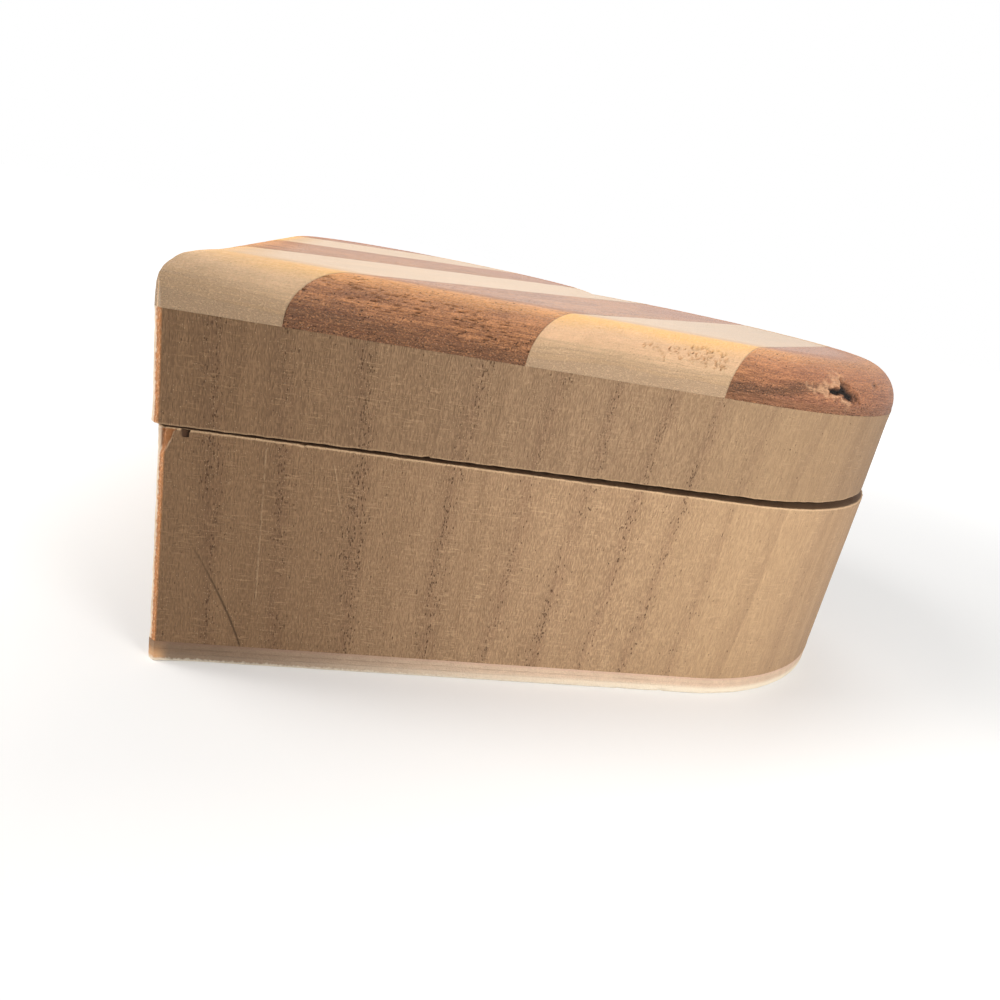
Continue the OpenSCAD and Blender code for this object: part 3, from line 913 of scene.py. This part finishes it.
def wall_wood(c):
    """Upright-grained wood. X runs along the box's right side, where growth rings cut it at
    RING_LINES millimetres from the tip, and each ring starts with a band of open pores."""
    material, t = new_material("wall")
    rgb = tuple(c.wall)
    place = t.add("ShaderNodeMapping", {
        "Vector": t.object_place(), "Location": (TIP_ALONG, 0, 0), "Scale": PER_METRE,
        "Rotation": (0, 0, SIDE_TURN)}).outputs[0]
    run, rise, edge, outside, torn = t.attributes("run", "rise", "edge", "outside", "torn")
    from_tip = t.math("ABSOLUTE", run)
    on_face = t.joined(run, 0.0, rise)
    x, _, z = t.add("ShaderNodeSeparateXYZ", {0: place}).outputs
    leaned = t.times_plus(z, t.step(x, 14, 58, 0.05, -0.08), t.plus(x, 1.5))
    drift = t.noise(t.scaled(place, (1, 1, 0.35)), 0.11, 3)
    ring = ring_number(t, t.wandering(leaned, drift, 3.6))
    near, phase = t.math("PINGPONG", ring, 0.5), t.math("FRACT", ring)
    patchy = t.patches(place, (1, 1, 0.25), (0.35, 0.6, 0.25, 1.0), 0.5, 2)
    soft_right = t.fall(x, 62, 84, 0.06)
    band = t.times(t.fall(near, 0.01, 0.2), patchy, soft_right)
    rows = t.patches(place, (1, 1, 0.04), (0.4, 0.6, 0.15, 1.0), 1.5, 1)
    rows = t.times(rows, t.fall(near, 0.02, 0.22), soft_right)
    fibre = t.group("Fibres", Place=place, Seed=3.1)
    pore = t.group("Pores", Place=place, Band=rows, Width=0.22, Long=2.4, Flecks=0.6)
    grit = t.group("Grit", Place=place, Fine=6.5, Long=4.5)["Grit"]
    calm = t.fall(x, 60, 88, 0.35)
    marks = t.group("Sanding", Place=on_face, Fine=3.2)["Marks"]
    marks = t.times(marks, t.fall(from_tip, 20, 70, 0.4), t.times_plus(grit, 0.5, 0.6), outside)
    wear_and_highlight = t.group("Arris wear", Place=on_face, Edge=edge, Reach=0.34)["Wear"]
    wear_and_highlight = t.times(wear_and_highlight, t.fall(rise, *LID_STARTS, 0.35))
    cloud = t.noise(t.scaled(place, (1, 1, 0.5)), 0.09, 3)

    # The wood: streaks, paler and darker regions, a painted highlight on the right, rings, fibres
    # and grains.
    dusty = tint(rgb, 1.5, (0, 0.04, 0.08))
    coat = Coat(t, fibre["Streaks"], tint(rgb, 0.86, (0, -0.03, -0.06)), tint(rgb, 1.1))
    coat.lay(tint(rgb, 1.12, (0.02, 0.03, 0.05)), t.step(cloud, 0.35, 0.7, 0.0, 0.4))
    # Painted highlight: paler from x = 52 to 106 mm, as if lit most there.
    coat.lay(tint(rgb, 1.2, (0, 0.03, 0)), t.step(x, 52, 80, 0.0, 0.7), t.fall(x, 84, 106, -0.25))
    coat.lay(tint(rgb, 0.64, (0, -0.04, -0.04)), t.step(phase, 0.6, 0.99), 0.32)
    coat.lay(tint(rgb, 0.66, (0.06, -0.03, -0.03)), band, 0.42)
    between = t.minus(1.0, fibre["Fibres"])
    coat.lay(tint(rgb, 0.6, (0, -0.03, -0.05)), between, t.step(x, 0, 30, 0.3, 0.46))
    coat.lay(tint(rgb, 0.5, (0.02, -0.02, -0.04)), t.fall(grit, 0.08, 0.45), calm, 0.34)
    coat.lay(dusty, t.step(grit, 0.6, 0.95), calm, 0.34)
    coat.lay(dusty, marks, 0.9)

    # Painted shade, darker towards the tip and on the lid, then the pores, and the sawn end grain,
    # darker itself and with painted shade in the joint's gap.
    coat.lay((0.38, 0.315, 0.245), t.fall(from_tip, 2, 62), 0.8, blend="MULTIPLY")
    # Painted shade on the lid's frame, stronger on its right side.
    on_lid = t.step(rise, *LID_STARTS)
    coat.lay((0.58, 0.57, 0.56), on_lid, t.step(run, 5, 60, 0.1, 0.6), blend="MULTIPLY")
    coat.lay(tint(rgb, 1.6, (0, 0.1, 0.15)), pore["Flecks"], 0.5)
    coat.lay(tint(rgb, 0.16, (0.03, -0.03, -0.05)), pore["Pores"], 0.8)
    # The rims' end grain, darker itself, with painted shade where it lies in the joint's gap.
    rims = t.times(t.line(rise, JOINT_MIDDLE, 0.9, 1.3, 0.75), t.minus(1.0, outside))
    coat.lay(tint(rgb, 0.31, (0.02, -0.04, -0.06)), rims)

    # The tip's flat, orange with flakes, a painted highlight on its left corner, and the worn
    # arrises with a painted highlight.
    flat = t.times(t.fall(from_tip, 0.5, 0.85), outside)
    flakes = t.noise(t.scaled(on_face, (6, 1, 2.2)), 1.0, 3, 0.7)
    blotches = t.patches(on_face, (2.5, 1, 0.8), (0.35, 0.65, 0.6, 0.95), 1.0, 3)
    coat.lay((0.72, 0.27, 0.08), flat, blotches)
    coat.lay((1.0, 0.66, 0.40), flat, t.step(flakes, 0.52, 0.66, 0.0, 0.75))
    coat.lay((0.22, 0.085, 0.03), flat, t.step(flakes, 0.36, 0.46, 0.6, 0.0))
    # Painted highlight on the left corner of the tip's flat, as if lit from behind.
    ragged = t.wandering(run, t.noise(on_face, 1.6, 3), 0.9)
    corner = t.times(t.fall(ragged, -0.3, 0.05), t.step(run, -1.6, -0.9))
    coat.lay((1.0, 0.80, 0.60), corner, outside, 0.95)
    # Worn arrises at the joint, lighter where sanded, with a painted highlight.
    coat.lay(tint(rgb, 1.8, (0, 0.12, 0.2)), wear_and_highlight, 0.66)

    # The scratch, two pale lines, and the wood torn out at the flake and the notch.
    scratch = t.times(bowed_scratch(t, run, rise), outside)
    coat.lay((0.075, 0.036, 0.013), scratch, 0.75)
    lines = t.math("MAXIMUM", *(drawn_line(t, run, rise, *line) for line in PALE_LINES))
    lines = t.times(lines, t.step(t.noise(on_face, 1.3, 2), 0.35, 0.6, 0.1, 1.0), outside)
    coat.lay(tint(rgb, 1.25, (0, 0.06, 0.1)), lines, 0.4)
    coat.lay((0.36, 0.135, 0.04), t.step(torn, 0.1, 0.35, 0.0, 0.85))
    coat.lay((0.05, 0.022, 0.009), t.step(torn, 0.03, 0.2), t.line(run, NOTCH_RUN, 0.7, 0.9, 0.92))
    lifted = drawn_line(t, run, rise, 1.74, -0.4, 0.24, FLAKE_LOW, FLAKE_HIGH)
    coat.lay((0.74, 0.5, 0.31), lifted, outside, 0.9)

    height = t.total((marks, 0.5), (fibre["Fibres"], 0.4), (t.times(grit, calm), 0.35),
                     (pore["Pores"], -1.0), (pore["Flecks"], 0.5), (scratch, -1.0), (lines, 0.4))
    wood_shader(t, coat.out, height, t.step(pore["Pores"], 0.0, 1.0, 0.62, 0.9), 0.00016, 0.3)
    return material


def bottom_wood(c):
    """Pale board with level layers, painted shade towards the tip, and a painted highlight along
    its lower arris.
    """
    material, t = new_material("bottom")
    rgb = tuple(c.bottom)
    row = t.object_mm()
    place = t.turned(row, (0, 90, 0))
    fibre = t.group("Fibres", Place=place, Seed=8.2)
    grit = t.group("Grit", Place=place, Fine=6.0, Long=6.0)["Grit"]
    z = t.add("ShaderNodeSeparateXYZ", {0: row}).outputs[2]
    run, edge = t.attributes("run", "edge")
    drift = t.wandering(z, t.noise(t.scaled(row, (0.05, 0.05, 0.05)), 1.0, 2), 0.5)
    layers = t.plus(*(t.line(drift, at, 0.05, 0.17) for at in BOARD_LAYERS))
    broken = t.patches(row, (0.3, 0.3, 2), (0.35, 0.6, 0.3, 1.0), 1.0, 2)
    layers = t.times(layers, broken, t.fall(run, 60, 90, 0.3))
    wear_and_highlight = t.group("Arris wear", Place=row, Edge=edge, Reach=0.75)["Wear"]

    coat = Coat(t, fibre["Streaks"], tint(rgb, 0.98), tint(rgb, 1.14))
    coat.lay(tint(rgb, 0.66, (0.02, -0.03, -0.05)), layers, 0.4)
    coat.lay(tint(rgb, 0.7, (0, -0.03, -0.05)), t.minus(1.0, fibre["Fibres"]), 0.34)
    coat.lay(tint(rgb, 0.7, (0, -0.02, -0.03)), t.step(grit, 0.0, 0.4, 0.2, 0.0))
    coat.lay(tint(rgb, 0.84, (0.08, -0.1, -0.08)), t.step(z, 2.5, 2.8, 0.0, 0.4))
    # Painted shade: darker towards the tip.
    coat.lay((0.27, 0.23, 0.19), t.fall(run, 2, 55), 0.95, blend="MULTIPLY")
    coat.lay((0.95, 0.50, 0.22), t.fall(run, 0.8, 2.6), t.fall(z, 0.6, 2.6, 0.2), 0.7)
    # Painted highlight along the lower edge, stronger to the right.
    coat.lay((1.0, 0.88, 0.70), t.step(z, 0.9, 1.8, 0.88, 0.0), t.step(run, 10, 84, 0.07, 1.0))
    # The sanded lower arris, with a painted highlight.
    coat.lay((1.0, 0.90, 0.74), wear_and_highlight, 0.8)
    height = t.total((grit, 0.4), (fibre["Fibres"], 0.3), (layers, -0.6))
    wood_shader(t, coat.out, height, 0.6, 0.0001, 0.3)
    return material


def pale_details(t, coat, rgb, run, up, bent):
    """On a pale strip's rounded edge: darker near the tip, a line along its foot, three level
    lines, and a warm zone above them."""
    coat.lay(PALE_FOOT, t.step(run, 6, 34, 0.26, 0.0), t.fall(up, 4, 7))
    coat.lay((0.36, 0.25, 0.165), t.fall(bent, 1.2, 1.5), 0.4)
    for level in (1.3, 2.1, 2.9):
        coat.lay(tint(rgb, 0.42), t.line(bent, level, 0.04, 0.16, 0.3))
    warm = t.times(t.step(bent, 3.0, 5.0), t.step(run, 20, 45, 0.0, 0.34))
    coat.lay((1.0, 0.57, 0.32), warm, t.fall(up, 9.0, 10.5))


def brown_details(t, coat, rgb, run, bent, fallen, ripple, layers, dark):
    """On a brown strip's rounded edge: ripples, a dark band that slants down away from the
    tip, redder wood on the outermost strip, and a dark streak along its foot."""
    coat.lay(dark, ripple, t.step(fallen, 1, 5, 0.6, 0.14))
    slant = t.line(t.times_plus(run, 0.165, bent), 9.6, 0.1, 1.1)
    coat.lay(dark, slant, t.fall(run, 40, 48), t.step(layers, 0, 1, 0.2, 0.5))
    coat.lay((0.45, 0.175, 0.1), t.step(run, 66, 82, 0.0, 0.42))
    streak = t.line(bent, t.times_plus(t.minus(run, 75.0), 0.1, 1.9), 0.2, 1.1, 0.72)
    coat.lay(tint(rgb, 0.17), streak, t.fall(run, 86, 89), t.step(run, 64, 67))


def strip_wood(name, rgb):
    """Strip wood with its grain along Y and its layers level. The up attribute runs up the
    rounded edge, hollow and torn mark knots and torn grain. bent is up with a slow wave, and
    fallen is bent, lowered near the tip."""
    brown, look = name == "brown", STRIP_LOOKS[name]
    material, t = new_material(name)
    run, up, edge = t.attributes("run", "up", "edge")
    board, hollow, torn = t.attributes("board", "hollow", "torn")
    shift = t.scaled(t.joined(board, board, board), (13.7, 41.3, 7.9))
    row = t.moved(t.object_mm(), shift)
    place = t.turned(row, (90, 0, 0))
    fibre = t.group("Fibres", Place=place, Seed=look.seed)
    grit = t.group("Grit", Place=place, Fine=6.0, Long=look.grit_long)["Grit"]
    warped = t.noise(t.scaled(row, (0.12, 0.03, 0.5)), 1.0, 2)
    layers = t.patches(row, (0.08, 0.02, 1.9), (0.36, 0.64), 1.0, 4, 0.65, 0.4)
    lines = t.patches(row, (0.1, 0.03, 2.6), (0.5, 0.58), 1.0, 2, 0.6, 0.3)
    cloud = t.patches(row, (0.16, 0.05, 0.3), (0.4, 0.6), 1.0, 3)
    bent = t.wandering(up, warped, 2.4)
    # Painted highlight: a golden band along the crest of the rounded edge.
    crest_highlight_mask = t.times(t.step(bent, 5.4, 8.8), t.fall(up, 9.2, 12.0))
    if brown:
        ripple = t.patches(row, (0.5, 0.3, 5.0), (0.5, 0.6), 1.0, 2, 0.6, 0.5)
        fallen = t.minus(bent, t.step(run, 15, 34, 1.5, 0.0))
        band = t.times(t.step(warped, 0.4, 0.62, 0.15, 0.9), t.fall(up, 0.5, 6.5, 0.4))
        dark, light = tint(rgb, 0.42, (0, -0.05, -0.06)), tint(rgb, 1.5, (0.08, 0.14, 0.1))
        low, top = tint(rgb, 0.25, (0, 0.01, 0.02)), tint(rgb, 1.05, (0, 0.1, 0.2))
        pore_tone, fleck_tone, line_tone = tint(rgb, 0.14), (0.74, 0.44, 0.27), dark
        lower = t.step(fallen, 0.4, 3.8, 0.82, 0.0)
        lines = t.times(lines, t.fall(fallen, 1.0, 7.0, 0.45))
        crest_highlight_mask = t.times(crest_highlight_mask, t.fall(run, 74, 90, 0.45))
    else:
        band = t.step(warped, 0.5, 0.8, 0.0, 0.4)
        dark, light = tint(rgb, 0.8, (0, -0.03, -0.05)), tint(rgb, 1.15, (0.02, 0, 0.03))
        low, top = PALE_FOOT, tint(rgb, 1.08, (0, 0.06, 0.16))
        pore_tone, fleck_tone = tint(rgb, 0.5), tint(rgb, 1.3, (0, 0.05, 0.1))
        line_tone = tint(rgb, 0.6, (0, 0, 0.02))
        lower = t.step(bent, 0.9, 4.8, 0.66, 0.0)
        lines = t.times(lines, t.fall(up, 2.0, 6.0, 0.1))
        crest_highlight_mask = t.times(crest_highlight_mask, t.step(run, 8, 30, 0.5, 1.0), t.fall(run, 72, 92, 0.3))
    pore = t.group("Pores", Place=place, Band=band, Width=look.pore_wide,
                   Long=look.pore_long, Flecks=look.pore_flecks)

    coat = Coat(t, fibre["Streaks"], tint(rgb, 0.84), light)
    coat.lay(dark, layers, look.layers)
    coat.lay(light, cloud, look.cloud)
    # Painted reflection: the top paler and cooler, as a bright reflection at a low angle washes it
    # out.
    coat.lay(top, t.step(up, 10.5, 14.0, 0.0, 0.6))
    coat.lay(dark, t.minus(1.0, fibre["Fibres"]), look.fibres)
    coat.lay(low, lower)
    if not brown:
        pale_details(t, coat, rgb, run, up, bent)
    coat.lay(line_tone, lines, look.lines)
    if brown:
        brown_details(t, coat, rgb, run, bent, fallen, ripple, layers, dark)
    # Lays the painted golden crest highlight.
    coat.lay(look.crest_tone, crest_highlight_mask, look.crest)
    coat.lay(dark, t.fall(grit, 0.05, 0.42), look.dark_grit)
    coat.lay(light, t.step(grit, 0.6, 0.95), look.pale_grit)
    coat.lay(fleck_tone, pore["Flecks"], 0.5)
    coat.lay(pore_tone, pore["Pores"], look.pores)
    coat.lay(look.torn_tone, torn, 0.85)
    # The knot's black, dark pores, and painted shade in the pale strip's torn pits.
    coat.lay(look.hollow_tone, hollow)
    coat.lay(tint(rgb, 0.5), t.step(edge, 0.02, 0.14, 0.45, 0.0))

    height = t.total((grit, 0.5), (fibre["Fibres"], 0.3), (pore["Pores"], -look.pore_deep),
                     (pore["Flecks"], 0.4))
    if brown:
        height = t.times_plus(ripple, -0.6, height)
    rough = t.math("MAXIMUM", t.step(pore["Pores"], 0.0, 1.0, 0.3, 0.85),
                   t.step(up, 11.5, 15.5, 0.55, look.top_rough))
    wood_shader(t, coat.out, height, rough, look.bump)
    return material


def brass(c):
    """Satin brass, a little dulled in patches, with fine drawn lines."""
    material, t = new_material("brass")
    rgb = tuple(c.brass)
    row = t.object_mm()
    dull = t.step(t.noise(row, 0.5, 4, 0.6), 0.4, 0.7)
    lines = t.noise(t.scaled(row, (0.4, 9, 9)), 1.0, 2)
    relief = t.add("ShaderNodeBump", {"Height": lines, "Distance": 0.00002}).outputs[0]
    shader = t.add("ShaderNodeBsdfPrincipled", {
        "Base Color": t.mix(t.times(dull, 0.5), rgb, tint(rgb, 0.62)), "Metallic": 1.0,
        "Roughness": t.times_plus(dull, 0.15, 0.28), "Normal": relief})
    t.add("ShaderNodeOutputMaterial", {"Surface": shader.outputs[0]})
    return material


def floor_paint(c):
    """Plain pale floor that keeps its shadows. The camera and glossy rays see it lighter away
    from the box, where the lamps don't reach."""
    material, t = new_material("floor")
    away = t.add("ShaderNodeVectorMath", {0: t.object_place()}, operation="LENGTH").outputs[1]
    shader = t.add("ShaderNodeBsdfPrincipled", {"Base Color": (*c.floor, 1), "Roughness": 0.9,
                                                "Specular IOR Level": 0.1})
    lift = t.times(t.seen(), t.step(away, 0.05, 0.45, 0.16, 0.74))
    glow = t.add("ShaderNodeEmission", {"Color": WHITE, "Strength": lift})
    both = t.add("ShaderNodeAddShader", {0: shader.outputs[0], 1: glow.outputs[0]})
    t.add("ShaderNodeOutputMaterial", {"Surface": both.outputs[0]})
    return material


def finish(name):
    """The named finish, made at its first use."""
    if name in bpy.data.materials:
        return bpy.data.materials[name]
    for label, make in (("Fibres", fibres_group), ("Pores", pores_group), ("Grit", grit_group),
                        ("Sanding", sanding_group), ("Arris wear", arris_wear_and_highlight_group)):
        if label not in bpy.data.node_groups:
            make()
    c = bpy.context.scene.trinket_colours
    if name in STRIP_LOOKS:
        return strip_wood(name, tuple(getattr(c, name)))
    makers = {"wall": wall_wood, "bottom": bottom_wood, "brass": brass, "floor": floor_paint}
    return makers[name](c)


class BaseWallOperator(bpy.types.Operator):
    """Make the base's wall, with chips at the tip's upper edge"""
    bl_idname = "trinket.base_wall"
    bl_label = "Base wall"

    def execute(self, context):
        h = Heart(context.scene.trinket_sizes)
        corners = [arris(0.16, 5, BASE_CHIPS), arris(0.3, 6), arris(0.02, 7), arris(0.03, 8)]
        points, faces, values = wall(h, h.bottom_t, h.base_h, corners, 11, False, tip_tearout)
        make_piece("base_wall_wood", points, faces, finish("wall"), "base", "wall_wood",
                   ["base_wall"], **values)
        return {"FINISHED"}


class LidFrameOperator(bpy.types.Operator):
    """Make the lid's frame, which continues the base's grain"""
    bl_idname = "trinket.lid_frame"
    bl_label = "Lid frame"

    def execute(self, context):
        h = Heart(context.scene.trinket_sizes)
        corners = [arris(0.03, 25), arris(0.02, 26), arris(0.3, 27), arris(0.14, 28, LID_CHIPS)]
        points, faces, values = wall(h, h.lid_z, h.panel_z, corners, 31, True)
        make_piece("lid_frame_wood", points, faces, finish("wall"), "lid", "wall_wood",
                   ["lid_frame"], **values)
        return {"FINISHED"}


def board_surface(h):
    """Points, faces and attributes of the bottom board. Columns run round the outline, and in
    each column a loop runs from the heart's axis over the top, down the edge, round the lower
    corner by a quarter circle, and back to the axis. The edge and the nicks in its lower arris
    are moved inwards, towards the axis."""
    parts = wall_columns(h, 0.2, 0.7, 0.8)
    outer = h.outline(0, parts)
    run = h.outline_run(parts)
    touch = h.lobe_y - h.lobe_r * h.sin
    x, y = outer[:-len(parts[2])].T
    across_tip = 0.5 * np.minimum(x, h.tip_flat / 2) * (touch - y) / (touch - h.flat_y)
    on_axis = np.concatenate([y + across_tip, touch + (outer[-1, 1] - touch) * parts[2]])
    axis = np.stack([0 * on_axis, on_axis], 1)
    outer, axis = (np.concatenate([v, (v * [-1, 1])[-2:0:-1]]) for v in (outer, axis))
    run = np.concatenate([run, -run[-2:0:-1]])[:, None]
    width = np.linalg.norm(outer - axis, axis=1)[:, None]
    toward = (axis - outer) / np.maximum(width, 1e-9)
    t, r = h.bottom_t, h.bottom_round
    turn = np.linspace(0, math.pi / 2, 7)[1:-1]
    level = np.linspace(1, 0, 12)[:-1] ** 1.5
    side_z = spaced(r, t, 0.06, 0.5, 1.6)[::-1]
    share = np.concatenate([level, 0 * side_z, 0 * turn, level[::-1]])[None]
    inset = np.concatenate([0 * level, 0 * side_z, r * (1 - np.cos(turn)), 0 * level + r])[None]
    z = np.concatenate([0 * level + t, side_z, r * (1 - np.sin(turn)), 0 * level])[None]
    inset = np.where(share >= 1, 0, inset) * np.minimum(1, width / 4)
    depth = share * width + inset * (1 - share)
    face = on_wall(run, z)
    uneven = 0.05 * (1 + lumps(face, 1.1, 42))
    for at, half, deep in BOARD_NICKS:
        uneven = uneven + deep * np.exp(-((run - at) / half) ** 2)
    uneven = uneven * np.exp(-((z - 0.2) / 0.35) ** 2) + 0.03 * (1 + lumps(face, 3, 41))
    depth = np.where(share == 0, depth + uneven * np.minimum(1, width / 4), depth)
    xy = outer[:, None] + toward[:, None] * depth[..., None]
    p = np.concatenate([xy, np.broadcast_to(z, depth.shape)[..., None]], -1)
    edge = np.where(share == 0, np.minimum(z + 0 * run, 3), 3)
    run = np.broadcast_to(np.abs(run), depth.shape)
    return (h.to_row(p.reshape(-1, 3)), grid_faces(*depth.shape, ring_m=False, flip=True),
            {"run": run.ravel(), "edge": edge.ravel()})


class BottomBoardOperator(bpy.types.Operator):
    """Make the bottom board"""
    bl_idname = "trinket.bottom_board"
    bl_label = "Bottom board"

    def execute(self, context):
        points, faces, values = board_surface(Heart(context.scene.trinket_sizes))
        make_piece("bottom_board_wood", points, faces, finish("bottom"), "base", "bottom_wood",
                   ["bottom_board"], **values)
        return {"FINISHED"}


class StripsOperator(bpy.types.Operator):
    """Make the seven strips of the lid's panel, with a knot, pores and torn grain"""
    bl_idname = "trinket.strips"
    bl_label = "Panel strips"

    def execute(self, context):
        h = Heart(context.scene.trinket_sizes)
        e1 = h.strip_mid / 2
        e2 = e1 + h.strip_in
        e3 = e2 + h.strip_out
        at_knot = np.interp(np.linspace(0, 1, 330), [0, 0.12, 0.53, 1], [0, 0.12, 0.36, 1])
        even = np.linspace(0, 1, 150)
        inner = (("middle", "pale", -e1, e1, 0.2, (50, 100, 20), mitre_chips),
                 ("right_inner", "brown", e1, e2, 0.12, (104, 60, 16), torn_brown()),
                 ("right_outer", "pale", e2, e3, 0.12, (104, 50, 16), torn_pale()),
                 ("left_inner", "brown", -e2, -e1, 0.45, (28, 80, 16), sanded(70, 0.03)),
                 ("left_outer", "pale", -e3, -e2, 0.45, (28, 60, 16), sanded(72, 0.03)))
        strips = [(name, tone, strip_grid(h, spaced(x0, x1, 0.05, step, 1.6), *counts), worked_by)
                  for name, tone, x0, x1, step, counts, worked_by in inner]
        strips.insert(3, ("right_edge", "brown", edge_strip_grid(h, e3, 1, at_knot, 100), knotted))
        strips.append(("left_edge", "brown", edge_strip_grid(h, e3, -1, even, 50),
                       sanded(74, 0.03)))
        for k, (name, tone, top, worked_by) in enumerate(strips):
            points, values = strip_points(h, top, worked_by)
            values["board"] = np.full(len(points), float(k))
            slot = "pale_strip" if tone == "pale" else "red_strip"
            make_piece(f"strip_{name}_wood", h.to_row(points, True), slab_faces(*top.shape[:2]),
                       finish(tone), "lid", slot, [f"strip_{name}"], **values)
        return {"FINISHED"}


def screw_mesh(h):
    """Points and faces of a slotted countersunk screw whose head is flush with z = leaf_t.
    The head is a slab over a disc: along each chord y runs between the disc's edges, the top
    is level but for the slot, and the underside is a cone. The shank is a closed tube whose
    radius follows a thread, and narrows to a point."""
    r, big, t = h.screw_d / 2, h.screw_d / 2 + h.leaf_t, h.leaf_t
    slot, rows, sides, pitch = 0.18, 72, 18, 0.6
    half = np.concatenate([[0, 0.08, 0.15, slot], np.linspace(0.3, 1, 12) ** 0.8 * big])
    x = np.concatenate([-half[:0:-1], half])[:, None]
    y = np.linspace(-1, 1, 21) * np.sqrt(np.maximum(big * big - x * x, 0))
    x = np.broadcast_to(x, y.shape)
    out = np.minimum(np.hypot(x, y), big)
    rim = t - 0.03
    top = t - 0.03 * (out / big) ** 8
    low = rim * unit((out - r) / t)
    top = top - unit((slot - np.abs(x)) / 0.03) * np.minimum(0.3, 0.85 * (top - low))
    head = np.concatenate([np.stack([x, y, z], -1).reshape(-1, 3) for z in (top, low)])
    z = np.linspace(-h.screw_len, 0.1, rows)[:, None]
    turn = np.linspace(0, 2 * math.pi, sides + 1)[:-1]
    thread = 0.86 + 0.14 * np.abs(2 * ((z / pitch - turn / 2 / math.pi) % 1) - 1)
    thick = r * thread * np.clip((z + h.screw_len) / h.screw_point, 0.02, 1)
    thick[[0, -1]] = 0
    shank = np.stack([thick * np.cos(turn), thick * np.sin(turn), z + 0 * thick], -1)
    tube = grid_faces(rows, sides, ring_n=False, flip=True)
    return (np.concatenate([head, shank.reshape(-1, 3)]),
            np.concatenate([slab_faces(*y.shape), tube + len(head)]))


class ScrewsOperator(bpy.types.Operator):
    """Make the hinges' slotted screws"""
    bl_idname = "trinket.screws"
    bl_label = "Screws"

    def execute(self, context):
        h = Heart(context.scene.trinket_sizes)
        one, faces = screw_mesh(h)
        y = h.heart_len - h.wall_t / 2
        places = [(s * h.lobe_x + e * h.screw_gap / 2, y) for s in (-1, 1) for e in (-1, 1)]
        for body, up, level in (("base", 1, h.base_h), ("lid", -1, h.lid_z)):
            points, sides = [], []
            for k, (x, y) in enumerate(places):
                a = 0.4 + 2.3 * k + up
                c, d = math.cos(a), math.sin(a)
                u, v, w = one.T
                turned = np.stack([c * u - d * v, d * u + c * v, w], -1)
                sides.append((faces if up > 0 else faces[:, ::-1]) + len(one) * k)
                points.append(turned * [1, 1, up] + [x, y, level])
            points = h.to_row(np.concatenate(points), body == "lid", False)
            make_piece(f"{body}_screws_brass", points, np.concatenate(sides), finish("brass"),
                       body, "screw_brass", [f"{body}_screws"], 30)
        return {"FINISHED"}


class HingesOperator(bpy.types.Operator):
    """Give the hinges' leaves and pins their satin brass"""
    bl_idname = "trinket.hinges"
    bl_label = "Hinges"

    def execute(self, context):
        names = [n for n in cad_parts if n.endswith("_leaf") or n.endswith("_pin")]
        if len(names) != 6:
            raise RuntimeError("the frame has other hinges than the scene expects")
        for name in names:
            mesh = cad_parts[name].data
            mesh.materials.clear()
            mesh.materials.append(finish("brass"))
        return {"FINISHED"}


def soft_lamp(scene, name, place, aim, size, power):
    """A round area lamp of a size in metres at place, turned to aim."""
    data = bpy.data.lights.new(name, "AREA")
    data.shape, data.size, data.energy, data.color = "DISK", size, power, LAMP_TINT
    lamp = bpy.data.objects.new(name, data)
    scene.collection.objects.link(lamp)
    lamp.location = place
    lamp.rotation_euler = (Vector(aim) - Vector(place)).to_track_quat("-Z", "Y").to_euler()
    lamp.visible_camera = False


class StageOperator(bpy.types.Operator):
    """Make the floor, the soft lights and the camera"""
    bl_idname = "trinket.stage"
    bl_label = "Stage"

    def execute(self, context):
        scene = context.scene
        mesh = bpy.data.meshes.new("floor")
        r = FLOOR_HALF
        mesh.from_pydata([(-r, -r, 0), (r, -r, 0), (r, r, 0), (-r, r, 0)], [], [(0, 1, 2, 3)])
        mesh.materials.append(finish("floor"))
        floor = bpy.data.objects.new("floor", mesh)
        scene.collection.objects.link(floor)

        world = bpy.data.worlds.new("studio")
        world.use_nodes = True
        world.node_tree.nodes.clear()
        t = Tree(world.node_tree)
        fill = t.add("ShaderNodeBackground", {"Color": WHITE, "Strength": 0.36})
        bright = t.add("ShaderNodeBackground", {"Color": WHITE, "Strength": 1.0})
        mix = t.add("ShaderNodeMixShader", {0: t.seen(), 1: fill.outputs[0], 2: bright.outputs[0]})
        t.add("ShaderNodeOutputWorld", {"Surface": mix.outputs[0]})
        scene.world = world
        for lamp in LAMPS:
            soft_lamp(scene, *lamp)

        data = bpy.data.cameras.new("camera")
        data.lens, data.sensor_width, data.clip_start = LENS, SENSOR, NEAREST
        camera = bpy.data.objects.new("camera", data)
        scene.collection.objects.link(camera)
        camera.location = CAMERA_PLACE
        camera.rotation_euler = [math.radians(v) for v in CAMERA_TURN]
        scene.camera = camera
        scene.view_settings.view_transform = "Standard"
        return {"FINISHED"}


class TrinketPanel(bpy.types.Panel):
    """Lists the box's pieces, sizes and colours"""
    bl_idname = "TRINKET_PT_box"
    bl_label = "Trinket box"
    bl_space_type = "VIEW_3D"
    bl_region_type = "UI"
    bl_category = "Trinket box"

    def draw(self, context):
        layout = self.layout
        for step in STEPS:
            layout.operator(step.bl_idname)
        for group in (context.scene.trinket_sizes, context.scene.trinket_colours):
            for key in group.__annotations__:
                layout.prop(group, key)


STEPS = (StageOperator, BottomBoardOperator, BaseWallOperator, LidFrameOperator, StripsOperator,
         HingesOperator, ScrewsOperator)
CLASSES = (BoxSizes, BoxColours, *STEPS, TrinketPanel)


def register():
    for c in CLASSES:
        bpy.utils.register_class(c)
    bpy.types.Scene.trinket_sizes = bpy.props.PointerProperty(type=BoxSizes)
    bpy.types.Scene.trinket_colours = bpy.props.PointerProperty(type=BoxColours)


def unregister():
    del bpy.types.Scene.trinket_colours
    del bpy.types.Scene.trinket_sizes
    for c in reversed(CLASSES):
        bpy.utils.unregister_class(c)


def main():
    register()
    for name in ("stage", "bottom_board", "base_wall", "lid_frame", "strips", "hinges", "screws"):
        getattr(bpy.ops.trinket, name)()
    bpy.context.view_layer.update()


if __name__ == "__main__":
    main()
